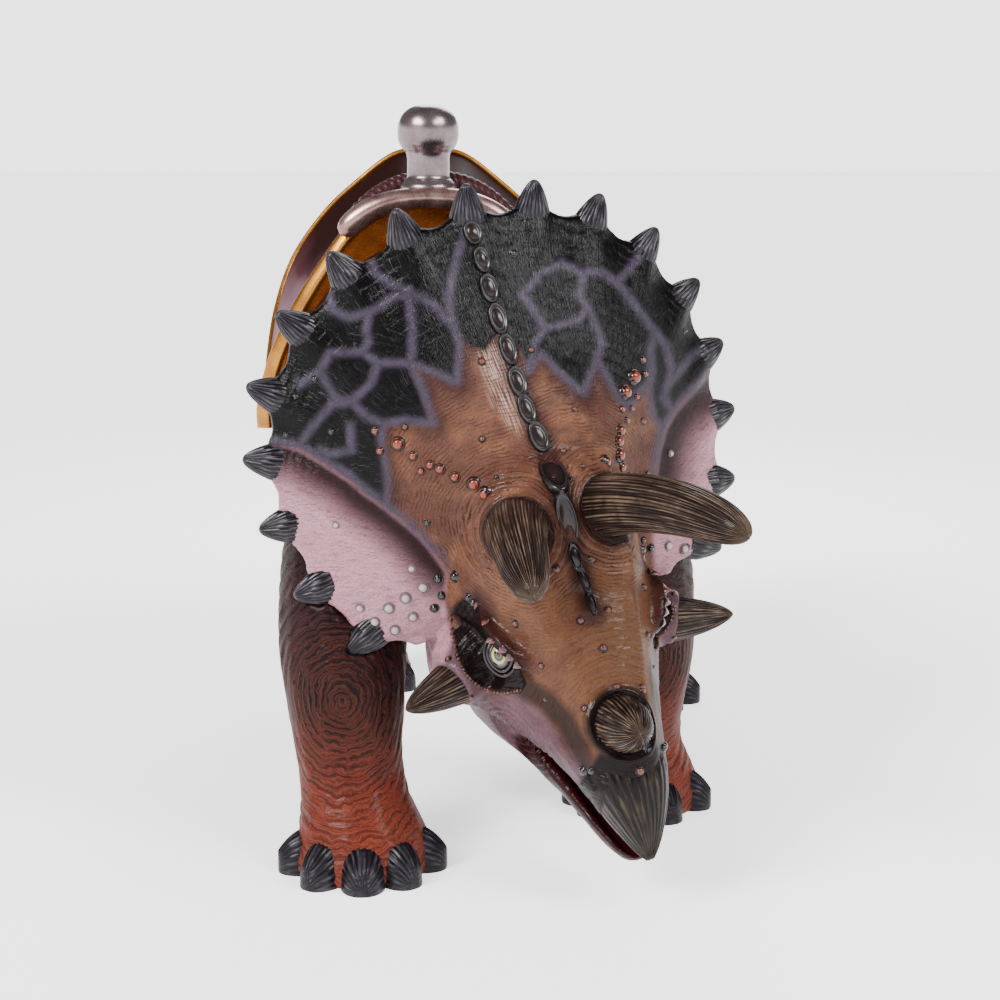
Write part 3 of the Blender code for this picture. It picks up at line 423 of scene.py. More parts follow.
def face_out(obj):
    """Merges doubles and turns the faces outwards."""
    choose(obj)
    bpy.ops.object.mode_set(mode="EDIT")
    bpy.ops.mesh.select_all(action="SELECT")
    bpy.ops.mesh.remove_doubles(threshold=1e-6)
    bpy.ops.mesh.normals_make_consistent(inside=False)
    bpy.ops.object.mode_set(mode="OBJECT")


def column(name, sides, rings, place):
    """A closed column, extruded ring by ring, that place(step, turn) then lays in its shape."""
    clear_selection()
    bpy.ops.mesh.primitive_circle_add(vertices=sides, radius=1.0, fill_type="NGON")
    made = bpy.context.object
    made.name = made.data.name = name
    bpy.ops.object.mode_set(mode="EDIT")
    bpy.ops.mesh.select_all(action="SELECT")
    for _ in range(rings - 1):
        bpy.ops.mesh.extrude_region_move(TRANSFORM_OT_translate={"value": (0, 0, 1.0)})
    bpy.ops.object.mode_set(mode="OBJECT")
    raw = read(made)
    step = raw[:, 2] / (rings - 1)
    turn = np.arctan2(raw[:, 1], raw[:, 0])
    write(made, place(step, turn))
    face_out(made)
    return made


def sheet(name, across, along, place):
    """A grid that place(u, v) lays in its shape, both from 0 to 1."""
    clear_selection()
    bpy.ops.mesh.primitive_grid_add(x_subdivisions=across, y_subdivisions=along, size=2.0)
    made = bpy.context.object
    made.name = made.data.name = name
    raw = read(made)
    write(made, place((raw[:, 0] + 1) / 2, (raw[:, 1] + 1) / 2))
    return made


def turned_model(name, profile, sides):
    """A lathe shape of unit size from radius and height rows, with its reach from rim to top."""
    radius, high = np.array(profile, float).T
    rings = len(profile)

    def place(step, turn):
        i = np.rint(step * (rings - 1)).astype(int)
        return np.stack([radius[i] * np.cos(turn), radius[i] * np.sin(turn), high[i]], axis=1)

    made = column(name, sides, rings, place)
    points = read(made)
    store(made, "reach", 1 - np.clip(np.hypot(points[:, 0], points[:, 1]), 0, 1))
    return made


def from_faces(name, points, faces):
    """A new object from its points and faces."""
    mesh = bpy.data.meshes.new(name)
    mesh.from_pydata([tuple(map(float, p)) for p in points], [], faces)
    made = bpy.data.objects.new(name, mesh)
    bpy.context.scene.collection.objects.link(made)
    return made


def join(name, pieces):
    """Several objects made one mesh."""
    shape = bmesh.new()
    for piece in pieces:
        shape.from_mesh(piece.data)
    mesh = bpy.data.meshes.new(name)
    shape.to_mesh(mesh)
    shape.free()
    for piece in pieces:
        if piece.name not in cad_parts:
            bpy.data.objects.remove(piece)
    made = bpy.data.objects.new(name, mesh)
    bpy.context.scene.collection.objects.link(made)
    return made


def node_copy(name, nodes):
    """The meshes of some solids as one new object, with their loose triangles merged."""
    made = join(name, [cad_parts[n] for n in nodes])
    made.data.materials.clear()
    choose(made)
    bpy.ops.object.mode_set(mode="EDIT")
    bpy.ops.mesh.select_all(action="SELECT")
    bpy.ops.mesh.remove_doubles(threshold=1e-5)
    bpy.ops.object.mode_set(mode="OBJECT")
    return made


def finish_piece(obj, material, slot, *nodes, sharp=50):
    """Gives a piece its material, smooth shading and body; its slot is not used."""
    obj.data.materials.clear()
    obj.data.materials.append(material)
    choose(obj)
    bpy.ops.object.shade_smooth_by_angle(angle=math.radians(sharp))
    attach(obj, "root")
    if nodes:
        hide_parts(*nodes)


def copies(model, name, matrices):
    """Copies of a model, each moved by its matrix, as one piece."""
    made = []
    for matrix in matrices:
        copy = model.copy()
        copy.data = model.data.copy()
        copy.data.transform(matrix)
        bpy.context.scene.collection.objects.link(copy)
        made.append(copy)
    return join(name, made)


def aimed(place, out, side, size):
    """A matrix that stands a model's z along out, its x near side, scaled by size."""
    out = Vector(out).normalized()
    side = Vector(side)
    side = (side - out * side.dot(out)).normalized()
    turn = Matrix((side, out.cross(side), out)).transposed().to_4x4()
    return Matrix.Translation(Vector(place)) @ turn @ Matrix.Diagonal((*size, 1.0))


def tree_of(*objects):
    """A search tree over the faces of some objects."""
    shape = bmesh.new()
    for obj in objects:
        shape.from_mesh(obj.data)
    made = BVHTree.FromBMesh(shape)
    shape.free()
    return made


def camera_axes():
    """The camera's forward, right and up directions."""
    forward = Vector((math.sin(YAW) * math.cos(PITCH), math.cos(YAW) * math.cos(PITCH),
                      -math.sin(PITCH)))
    right = Vector((math.cos(YAW), -math.sin(YAW), 0))
    return forward, right, right.cross(forward)


def in_picture(points):
    """Where points of the statue stand in the picture."""
    forward, right, up = (np.array(a) for a in camera_axes())
    off = np.asarray(points, float) - np.array(CAMERA_AT)
    depth = off @ forward
    scale = PICTURE * LENS / SENSOR / depth
    return np.stack([PICTURE / 2 + off @ right * scale, PICTURE / 2 - off @ up * scale], axis=1)


def on_skin(tree, x, y):
    """The place and normal on a skin behind a point of the picture."""
    forward, right, up = camera_axes()
    scale = SENSOR / LENS / PICTURE
    way = forward + right * ((x - PICTURE / 2) * scale) - up * ((y - PICTURE / 2) * scale)
    place, normal, _, _ = tree.ray_cast(CAMERA_AT, way.normalized())
    if place is None:
        raise RuntimeError(f"nothing stands behind picture point {x}, {y}")
    return place, normal


def line_distance(places, line, closed=False):
    """How far places are from a line of points."""
    line = np.array(line, float)
    ends = np.roll(line, -1, axis=0) if closed else line[1:]
    best = np.full(len(places), 1e9)
    for a, b in zip(line, ends):
        step = b - a
        t = np.clip(((places - a) @ step) / max(step @ step, 1e-12), 0, 1)
        best = np.minimum(best, np.linalg.norm(places - a - t[:, None] * step, axis=1))
    return best


def inside(places, outline, soft=4.0):
    """1 inside a closed outline and 0 outside it, with a soft edge."""
    outline = np.array(outline, float)
    x, y = places[:, 0], places[:, 1]
    within = np.zeros(len(places), bool)
    for (ax, ay), (bx, by) in zip(outline, np.roll(outline, -1, axis=0)):
        crosses = (ay > y) != (by > y)
        if ay != by:
            within ^= crosses & (x < (bx - ax) * (y - ay) / (by - ay) + ax)
    far = line_distance(places, outline, closed=True)
    return ease(np.where(within, far, -far), -soft, soft)


def roughly(points, scale, seed=0.0):
    """Smooth noise from about -1 to 1 at points; scale is its bumps per metre."""
    return np.array([noise.noise(Vector(p) * scale + Vector((seed, -seed, 2 * seed)))
                     for p in points.tolist()])


def lightly(points, scale, seed=0.0):
    """Rough noise of two sizes, from about -1 to 1."""
    return 0.65 * roughly(points, scale, seed) + 0.35 * roughly(points, scale * 2.3, seed + 4)


def skin_over(name, pieces, voxel, smooth):
    """One closed skin over several closed meshes."""
    made = join(name, pieces)
    apply_modifier(made, "REMESH", mode="VOXEL", voxel_size=voxel)
    apply_modifier(made, "SMOOTH", factor=0.5, iterations=smooth)
    return made


def tube_place(path, radii):
    """Gives column() the shape of a round tube along a path with changing radius."""
    path = np.array(path, float)
    tangents = np.gradient(path, axis=0)
    sides, ups = [], []
    side = None
    for t in tangents:
        t = Vector(t).normalized()
        if side is None:
            side = t.cross(Vector((0, 0, 1)))
            if side.length < 0.2:
                side = t.cross(Vector((0, 1, 0)))
        side = (side - t * side.dot(t)).normalized()
        sides.append(side)
        ups.append(side.cross(t))
    sides, ups = np.array(sides), np.array(ups)
    radii = np.array(radii, float)

    def place(step, turn):
        i = np.rint(step * (len(path) - 1)).astype(int)
        r = radii[i][:, None]
        return path[i] + sides[i] * r * np.cos(turn)[:, None] + ups[i] * r * np.sin(turn)[:, None]

    return place


def horn_path(base, tip, bow, radius, blunt, taper, power, side, rings):
    """Middle line and radii of a horn on one side of the head, in the statue's frame."""
    base, tip, bow = (Vector((p[0] * side, p[1], p[2])) for p in (base, tip, bow))
    s = np.linspace(0, 1, rings)
    reach = 1 - (1 - s) ** 1.35
    middle = (base + tip) / 2 + bow * 2
    path = (np.outer((1 - reach) ** 2, base) + np.outer(2 * reach * (1 - reach), middle)
            + np.outer(reach**2, tip))
    radii = radius * (1 - taper * reach) * np.maximum(0.0, 1 - reach**blunt) ** power
    return put(HEAD, path), np.maximum(radii, 0.0012)


def grooves(step, turn, count, seed, merge=1.0):
    """Depth from 0 to 1 of uneven grooves that run along a horn and wander and merge."""
    spots = np.stack([np.cos(turn) * count / 6.3, np.sin(turn) * count / 6.3, step * 2.4 * merge], axis=1)
    wander = roughly(spots, 0.40, seed)
    wave = 0.90 * np.sin(turn * count + 2.2 * wander) + 0.55 * roughly(spots, 1.25, seed + 9)
    return ease(wave, -0.45, 0.55)


def grain_space(step, turn, count):
    """Places for the paint's fine streaks, stretched along a horn."""
    return np.stack([np.cos(turn) * count / 6.3, np.sin(turn) * count / 6.3, step * 1.6], axis=1)


def groove_surface(obj, path, depth, count, seed):
    """Presses grooves into a horn and stores them, with the reach from base to tip."""
    points = read(obj)
    path = np.array(path)
    tree = KDTree(len(path))
    for i, p in enumerate(path):
        tree.insert(p, i)
    tree.balance()
    index = np.array([tree.find(p)[1] for p in points])
    step = index / (len(path) - 1)
    axis = Vector(path[-1] - path[0]).normalized()
    side = axis.cross(Vector((0, 0, 1))).normalized()
    up = side.cross(axis)
    off = points - path[index]
    turn = np.arctan2(off @ np.array(up), off @ np.array(side))
    deep = grooves(step, turn, count, seed)
    fade = ease(step, -0.02, 0.06) * (1 - ease(step, 0.97, 1.0))
    write(obj, points - read(obj, "normal") * (deep * depth * fade)[:, None])
    store(obj, "groove", deep)
    store(obj, "reach", step)
    store(obj, "streaks", grain_space(step, turn, count))


def frill_sheet(across, along):
    """Points of the frill's middle surface by row and column, and their normals."""
    rim, root = spline(FRILL_RIM, across), spline(FRILL_ROOT, across)
    rows = []
    for v in np.linspace(0, 1, along):
        line = root + (rim - root) * v
        swell = 0.016 * math.sin(math.pi * v) * np.sin(np.linspace(0, math.pi, across))
        rows.append(line + np.outer(swell, (0.0, -0.55, 0.83)))
    grid = np.array(rows)
    grid = np.concatenate([grid[:, :0:-1] * (-1, 1, 1), grid], axis=1)
    normal = np.cross(np.gradient(grid, axis=1), np.gradient(grid, axis=0))
    return grid, normal / np.linalg.norm(normal, axis=2, keepdims=True)


def frill_slab():
    """The frill's shield without its spikes, with a scalloped, rounded rim."""
    per_step = 12
    across, along = 9 * per_step + 1, 30
    grid, normal = frill_sheet(across, along)
    wide = grid.shape[1]
    v = np.linspace(0, 1, along)[:, None]
    beat = np.cos(2 * math.pi * (np.arange(wide) - across + 1) / per_step)[None, :]
    outward = grid[-1] - grid[-2]
    outward = outward / np.linalg.norm(outward, axis=1, keepdims=True)
    grid = grid + outward[None] * (ease(v, 0.78, 1.0) * (0.0045 * beat + 0.0005))[:, :, None]
    thick = 0.034 + (0.019 - 0.034) * v + ease(v, 0.62, 0.98) * 0.007 * ease(beat, 0.0, 1.0)
    front = grid + normal * (thick * 0.5)[:, :, None]
    back = grid - normal * (thick * 0.5)[:, :, None]
    lip = grid[-1] + outward * 0.008
    points = put(HEAD, np.concatenate([front.reshape(-1, 3), back.reshape(-1, 3), lip]))
    half, last = along * wide, (along - 1) * wide
    faces = []
    for r in range(along - 1):
        for i in range(wide - 1):
            a, b = r * wide + i, r * wide + i + 1
            faces.append((a, b, b + wide, a + wide))
            faces.append((half + a + wide, half + b + wide, half + b, half + a))
    edge = 2 * half
    for i in range(wide - 1):
        faces.append((last + i, last + i + 1, edge + i + 1, edge + i))
        faces.append((edge + i, edge + i + 1, half + last + i + 1, half + last + i))
        faces.append((i + 1, i, half + i, half + i + 1))
    for i in (0, wide - 1):
        for r in range(along - 1):
            a, b = r * wide + i, (r + 1) * wide + i
            faces.append((a, b, half + b, half + a))
        faces.append((last + i, edge + i, half + last + i))
    made = from_faces("frill_slab", points, faces)
    face_out(made)
    return made


def jaw_mass():
    """The lower jaw as one closed scoop."""
    rows = spline(JAW, 48)
    y, half, rim, chin = rows.T
    dish = np.minimum(0.020, half * 0.5)

    def place(step, turn):
        i = np.rint(step * 47).astype(int)
        c, s = np.cos(turn), np.sin(turn)
        x = np.sign(c) * np.abs(c) ** 0.62
        sunk = dish[i] * ease(0.86 - np.abs(x), 0.0, 0.30) * (s > 0)
        z = np.where(s > 0, rim[i] - 0.006 * (1 - s) - sunk, rim[i] + (chin[i] - rim[i]) * (-s) ** 0.75)
        return put(HEAD, np.stack([x * half[i], y[i], z], axis=1))

    return column("jaw_mass", 72, 48, place)


def neck_core():
    """The neck's flesh, which runs on into the back of the skull so that no gap shows."""
    path = [tuple(HEAD @ Vector(p)) for p in ((0, -0.075, -0.150), (0, 0.020, -0.120), (0, 0.10, -0.06))]
    path.append(tuple(Vector((0.020, -0.340, 0.530)) + SHIFT))
    path = spline(path, 16)
    return column("neck_core", 32, 16, tube_place(path, np.linspace(0.080, 0.155, 16)))


def melt(obj, lines, reach, iterations):
    """Smooths an object's skin near some lines of the head, on both sides."""
    local = put(HEAD_BACK, read(obj))
    local[:, 0] = np.abs(local[:, 0])
    far = np.min([line_distance(local, line) for line in lines], axis=0)
    weight = np.rint(10 * (1 - ease(far, reach * 0.6, reach))).astype(int)
    group = obj.vertex_groups.new(name="melt")
    for level in range(1, 11):
        group.add(np.nonzero(weight == level)[0].tolist(), level / 10, "REPLACE")
    apply_modifier(obj, "SMOOTH", factor=0.5, iterations=iterations, vertex_group="melt")


def cheek_boss(side):
    """The flesh round a cheek horn's foot."""
    path = spline([(0.100 * side, -0.096, -0.076), (0.140 * side, -0.112, -0.080),
                   (0.174 * side, -0.128, -0.080)], 10)
    return column("cheek_boss", 40, 10, tube_place(put(HEAD, path), np.linspace(0.052, 0.0385, 10)))


def cere():
    """The skin that lies over the beak's root."""
    rows = spline(BEAK, 56)[:16]
    y, half, top, edge = rows.T

    def place(step, turn):
        i = np.rint(step * 15).astype(int)
        c, s = np.cos(turn), np.sin(turn)
        reach = y[i] + 0.018 - 0.014 * np.abs(c) * (s > -0.5)
        z = (top[i] + edge[i]) / 2 + ((top[i] - edge[i]) / 2 + 0.003) * np.sign(s) * np.abs(s) ** 0.75
        return put(HEAD, np.stack([(half[i] + 0.003) * np.sign(c) * np.abs(c) ** 0.8, reach, z], axis=1))

    return column("cere", 64, 16, place)


def head_places(local, grid, normal):
    """For each point: its share on the frill, its place across and along it, and the point in
    front of it that carries its paint."""
    flat, wide = grid.reshape(-1, 3), grid.shape[1]
    quads = [(r * wide + i, r * wide + i + 1, (r + 1) * wide + i + 1, (r + 1) * wide + i)
             for r in range(len(grid) - 1) for i in range(wide - 1)]
    tree = BVHTree.FromPolygons([tuple(p) for p in flat.tolist()], quads)
    found = [tree.find_nearest(p) for p in local.tolist()]
    near = np.array([f[0] for f in found])
    face = np.array([f[2] for f in found])
    far = np.array([f[3] for f in found])
    row, col = face // (wide - 1), face % (wide - 1)
    start = flat[row * wide + col]
    across, along = flat[row * wide + col + 1] - start, flat[(row + 1) * wide + col] - start
    off = near - start
    more = np.clip((off * across).sum(1) / (across**2).sum(1), 0, 1)
    up = np.clip((off * along).sum(1) / (along**2).sum(1), 0, 1)
    u = (col + more - wide // 2) / 6
    v = (row + up) / (len(grid) - 1)
    out = normal.reshape(-1, 3)[row * wide + col]
    front = near + out * np.abs(((local - near) * out).sum(1))[:, None]
    on_frill = (1 - ease(far, 0.024, 0.034)) * ease(v, 0.04, 0.16)
    middle = np.where(on_frill[:, None] > 0.5, front, local)
    return on_frill, u, v, middle


def away_from(points, shape):
    """How far points are from the line through a horn's base and tip."""
    base, tip = np.array(shape[0]), np.array(shape[1])
    axis = (tip - base) / np.linalg.norm(tip - base)
    off = points - base
    return np.linalg.norm(off - np.outer(off @ axis, axis), axis=1)


class STATUE_OT_head_skin(bpy.types.Operator):
    """Builds the skin of the face, jaw and frill as one surface"""
    bl_idname = "statue.head_skin"
    bl_label = "Head and frill skin"

    def execute(self, context):
        masses = [node_copy("skull", ["head"]), frill_slab(), jaw_mass(), cheek_boss(1), cheek_boss(-1),
                  cere()]
        skin = skin_over("head_skin", masses, sizes().head_grain, 5)
        melt(skin, [BROW_RIDGE, CREST], 0.036, 130)
        points = read(skin)
        normal = read(skin, "normal")
        local = put(HEAD_BACK, points)
        grid, out = frill_sheet(9 * 6 + 1, 24)
        on_frill, u, v, middle = head_places(local, grid, out)
        true_places = in_picture(put(HEAD, middle))
        face = (on_frill < 0.5) & (local[:, 0] > 0)
        middle[face, 0] *= -1
        places = in_picture(put(HEAD, middle))

        # Distances that the zones and the wrinkles are drawn from
        side = np.abs(local[:, 0])
        mirrored = np.stack([side, local[:, 1], local[:, 2]], axis=1)
        facing = normal @ np.array(HEAD)[:3, :3]
        from_brow = away_from(mirrored, BROW_HORN)
        from_nose = away_from(mirrored, NOSE_HORN)
        from_mouth = np.linalg.norm(mirrored - MOUTH_CORNER, axis=1)
        from_eye = np.linalg.norm((mirrored - np.array(EYE_AT)) * (0.5, 1, 1), axis=1)
        y, z = local[:, 1], local[:, 2]
        skull = 1 - on_frill
        outer = skull * ease(side, 0.03, 0.06)

        # Painted zones, each from 0 to 1
        rose = np.maximum(inside(places, ROSE_LEFT, 4.0), inside(places, ROSE_RIGHT, 4.0))
        night = inside(places, NIGHT, 4.0) * on_frill * (1 - inside(places, ROSE_RIGHT, 4.0))
        cheek = np.maximum(on_frill, ease(y, -0.16, -0.10) * ease(side, 0.11, 0.13) * (z < 0.02))
        rose = rose * cheek
        veins = [line_distance(places, line) for line in VEINS]
        vein = (1 - ease(np.min(veins, axis=0), 0.3, 8.0)) * on_frill
        fade = np.minimum(*(veins[k] for k in CORNER_VEINS))
        edge = np.minimum(*(veins[k] for k in FIELD_VEINS))
        maroon = rose * (1 - ease(fade, 12, 50)) ** 0.6
        field = (1 - night) * (1 - rose) * on_frill
        maroon = np.maximum(maroon, 0.70 * field * (1 - ease(edge, 2, 26)))
        socket = inside(places, SOCKET, 2.0) * outer * ease(side, 0.07, 0.085)
        brow = 1 - ease(line_distance(places, BROW_SCALES), 4, 24)
        maroon = np.maximum(maroon, 0.85 * brow * outer)
        channel = 1 - ease(line_distance(true_places, SCUTE_LINE), 5, 19)
        maroon = np.maximum(maroon, 0.80 * channel * (facing @ np.array((0, -0.5, 0.8)) > 0.1))
        # Painted shade round the feet of the nose horn and the brow horns, where they meet the skin
        ring = 1 - ease(from_nose, 0.042, 0.056)
        root = 0.85 * (1 - ease(from_brow, 0.0455, 0.0535))
        lower = inside(places, LOWER_FACE, 6.0) * outer
        lower = np.maximum(lower, (1 - ease(z + 0.25 * (y + 0.21), -0.090, -0.050)) * skull)
        flank = ease(side, 0.088, 0.104) * skull * (y > -0.26) * (y < -0.06)
        lower = np.maximum(lower, 0.85 * flank * (1 - ease(z, -0.045, -0.010)))
        lower *= 1 - socket
        band = (1 - ease(line_distance(places, BAND), 5, 17)) * outer
        plum = inside(places, PLUM, 5.0) * (skull > 0.5) * ease(-y, 0.25, 0.28)
        plum = np.maximum(plum, 0.9 * ease(-y, 0.320, 0.340) * skull * (z > -0.15))
        # Dark paint of the band and plum zones, with the painted shade round the horns' feet
        dusk = np.maximum(np.maximum(0.80 * band, plum), np.maximum(root, ring * (z > -0.08)))
        inner = ease(-facing[:, 2], 0.4, 0.8) * (z < -0.118) * (side < 0.09) * (y < -0.19)
        jaw_top = ease(facing[:, 2], 0.1, 0.5) * ease(-z, 0.138, 0.146) * (y < -0.17) * (side < 0.11)
        mouth = inside(places, MOUTH, 3.0) * (z < -0.105) * skull
        mouth = np.clip(inner + jaw_top + mouth + 0.8 * (y < -0.27) * (z < -0.15) * skull, 0, 1)
        crest = inside(true_places, PALE_CREST, 8.0) * on_frill

        # Moulded wrinkles round the horns, mouth and eye, then swellings, the veins and collars
        warp = lightly(points, 30, 3.0)
        flow = np.minimum(from_brow - 0.040, np.minimum(0.9 * from_nose, from_mouth + 0.012)) + 0.003 * warp
        near_brow = ease(from_brow, 0.044, 0.050) * (1 - ease(from_brow, 0.058, 0.095))
        ripple = np.sin(2 * math.pi * from_brow / 0.0092) * near_brow * 1.7
        folds = np.sin(2 * math.pi * from_nose / 0.0118 + 1.5 * warp) * ease(from_nose, 0.056, 0.070)
        folds *= (1 - ease(from_nose, 0.10, 0.16)) * (1 - ease(side, 0.030, 0.065)) * (z > -0.05)
        chew = np.sin(2 * math.pi * from_mouth / 0.0105 + warp) * ease(from_mouth, 0.012, 0.020)
        chew *= (1 - ease(from_mouth, 0.045, 0.080)) * (1 - socket)
        rings = np.sin(2 * math.pi * from_eye / 0.0095) * socket * ease(from_eye, 0.024, 0.034)
        lift = sizes().wrinkle * (ripple + 0.8 * folds + 2.4 * chew + 0.7 * rings)
        lift *= 1 - on_frill * (v > 0.25)
        lift += 0.0012 * roughly(points, 34, 1.0) * skull + 0.0006 * lightly(points, 80, 5.0)
        beat = np.cos(2 * math.pi * u) * ease(v, 0.62, 0.98)
        lift += on_frill * (0.0018 * roughly(points, 15, 7.0) + 0.0026 * beat)
        lift += 0.0007 * vein - 0.0030 * socket * ease(side, 0.09, 0.10)
        collar = np.exp(-((from_nose - 0.0445) / 0.0035) ** 2) * (z > -0.09)
        lift += 0.0026 * collar + 0.0024 * np.exp(-((from_brow - 0.0545) / 0.0030) ** 2)
        write(skin, points + normal * lift[:, None])
        store(skin, "zones", np.stack([night, vein, rose, maroon], axis=1))
        store(skin, "places", np.stack([socket, lower, mouth, dusk], axis=1))
        store(skin, "flow", flow)
        creased = skull * (0.35 + 0.65 * (1 - ease(from_brow, 0.06, 0.14))) + 0.75 * field
        store(skin, "marks", np.stack([creased, crest, on_frill, 0 * v], axis=1))
        store(skin, "reach", np.stack([u * 0.07, v * 0.36, 0 * v], axis=1))
        store(skin, "home", local)
        finish_piece(skin, head_paint(), "skin", "head", "frill", "lower_jaw", sharp=80)
        return {"FINISHED"}


def head_paint():
    """Glass-fibre resin, painted and varnished: dark patches, veins and tan scaly skin."""
    made, tree, shader = start_material("glass_fibre_resin_painted_head", 0.42, coat=0.18,
                                        coat_roughness=0.13, shine=0.03)
    home = add(tree, "Attribute", attribute_name="home").node.outputs["Vector"]
    flow = add(tree, "Attribute", attribute_name="flow").node.outputs["Fac"]
    reach = add(tree, "Attribute", attribute_name="reach").node.outputs["Vector"]
    zones = add(tree, "Attribute", attribute_name="zones")
    maroon = zones.node.outputs["Alpha"]
    zones = add(tree, "SeparateColor", {0: zones}).node
    night, vein, rose = zones.outputs[0], zones.outputs[1], zones.outputs[2]
    places = add(tree, "Attribute", attribute_name="places")
    dusk = places.node.outputs["Alpha"]
    places = add(tree, "SeparateColor", {0: places}).node
    socket, lower, mouth = places.outputs[0], places.outputs[1], places.outputs[2]
    marks = add(tree, "SeparateColor", {0: add(tree, "Attribute", attribute_name="marks")}).node
    creased, crest, on_frill = marks.outputs[0], marks.outputs[1], marks.outputs[2]
    # Cloudy paint about 60 mm across, and fine grain about 3 mm across
    cloud = add(tree, "TexNoise", {"Vector": home, "Scale": 16.0, "Detail": 4.0, "Roughness": 0.6})
    grain = add(tree, "TexNoise", {"Vector": home, "Scale": 330.0, "Detail": 3.0})
    wobble = add(tree, "TexNoise", {"Vector": home, "Scale": 60.0, "Detail": 3.0})
    # Growth wrinkles every 5 mm that follow the flow away from the horns
    drift = add(tree, "Math", {0: wobble, 1: 0.010}, operation="MULTIPLY")
    where = add(tree, "Math", {0: flow, 1: drift}, operation="ADD")
    wave = add(tree, "Math", {0: where, 1: 2 * math.pi / 0.0050}, operation="MULTIPLY")
    wave = add(tree, "Math", {0: wave}, operation="SINE")
    crease = add(tree, "MapRange", {"Value": wave, "From Min": 0.35, "From Max": 1.0})
    broken = add(tree, "MapRange", {"Value": wobble, "From Min": 0.38, "From Max": 0.60})
    crease = add(tree, "Math", {0: crease, 1: broken}, operation="MULTIPLY")
    crease = add(tree, "Math", {0: crease, 1: creased}, operation="MULTIPLY")
    # Hairlines along the frill 2 mm apart, and sparser scratches that turn from patch to patch; the
    # scratches are also painted pale on the dark patches as painted highlights
    drawn = add(tree, "Mapping", {"Vector": reach, "Scale": (640.0, 22.0, 1.0)})
    hairs = add(tree, "TexNoise", {"Vector": drawn, "Scale": 1.0, "Detail": 3.0, "Roughness": 0.6})
    patches = add(tree, "TexVoronoi", {"Vector": home, "Scale": 13.0}).node.outputs["Color"]
    twist = add(tree, "SeparateColor", {0: patches})
    twist = add(tree, "MapRange", {"Value": twist, "To Min": -0.6, "To Max": 0.6})
    turned = add(tree, "VectorRotate", {"Vector": reach, "Angle": twist}, rotation_type="Z_AXIS")
    drawn = add(tree, "Mapping", {"Vector": turned, "Scale": (560.0, 22.0, 1.0)})
    scratch_and_glint = add(tree, "TexNoise", {"Vector": drawn, "Scale": 1.0, "Detail": 2.0, "Roughness": 0.5})
    scratch_and_glint = add(tree, "MapRange", {"Value": scratch_and_glint, "From Min": 0.60, "From Max": 0.72})
    dense = add(tree, "MapRange", {"Value": cloud, "From Min": 0.40, "From Max": 0.62, "To Min": 0.10,
                                   "To Max": 0.50})
    scratch_and_glint = add(tree, "Math", {0: scratch_and_glint, 1: dense}, operation="MULTIPLY")

    skin = add(tree, "ValToRGB", {0: cloud}, ramp=[
        (0.30, tone("#6b4437")), (0.50, colour("tan")), (0.68, tone("#9b7058"))])
    snout = add(tree, "SeparateXYZ", {0: home}).node.outputs["Y"]
    snout = add(tree, "MapRange", {"Value": snout, "From Min": -0.08, "From Max": -0.17})
    patchy = add(tree, "MapRange", {"Value": cloud, "From Min": 0.32, "From Max": 0.60})
    snout = add(tree, "Math", {0: snout, 1: patchy}, operation="MULTIPLY")
    skin = add(tree, "Mix", {"Factor": snout, "A": skin, "B": colour("ochre")}, data_type="RGBA")
    streak = add(tree, "MapRange", {"Value": hairs, "From Min": 0.45, "From Max": 0.60})
    pale = add(tree, "Math", {0: streak, 1: crest}, operation="MULTIPLY")
    skin = add(tree, "Mix", {"Factor": pale, "A": skin, "B": tone("#d8bdb4")}, data_type="RGBA")
    lines = add(tree, "Math", {0: crease, 1: 0.7}, operation="MULTIPLY")
    skin = add(tree, "Mix", {"Factor": lines, "A": skin, "B": tone("#3c2019")}, data_type="RGBA")
    lilac = add(tree, "Mix", {"Factor": cloud, "A": tone("#533940"), "B": tone("#967983")},
                data_type="RGBA")
    skin = add(tree, "Mix", {"Factor": lower, "A": skin, "B": lilac}, data_type="RGBA")
    skin = add(tree, "Mix", {"Factor": rose, "A": skin, "B": colour("rose")}, data_type="RGBA")
    hair = add(tree, "MapRange", {"Value": hairs, "From Min": 0.48, "From Max": 0.66, "To Max": 0.6})
    hair = add(tree, "Math", {0: hair, 1: rose}, operation="MULTIPLY")
    skin = add(tree, "Mix", {"Factor": hair, "A": skin, "B": tone("#755560")}, data_type="RGBA")
    skin = add(tree, "Mix", {"Factor": maroon, "A": skin, "B": colour("maroon")}, data_type="RGBA")
    # Painted highlight: pale scratches on the dark patches stand in for glints off their fine ridges
    dark = add(tree, "Mix", {"Factor": scratch_and_glint, "A": colour("night"), "B": tone("#78727c")},
               data_type="RGBA")
    skin = add(tree, "Mix", {"Factor": night, "A": skin, "B": dark}, data_type="RGBA")
    soft = add(tree, "MapRange", {"Value": wobble, "From Min": 0.25, "From Max": 0.65, "To Min": 0.55,
                                  "To Max": 1.0})
    soft = add(tree, "Math", {0: vein, 1: soft}, operation="MULTIPLY")
    skin = add(tree, "Mix", {"Factor": soft, "A": skin, "B": colour("vein")}, data_type="RGBA")
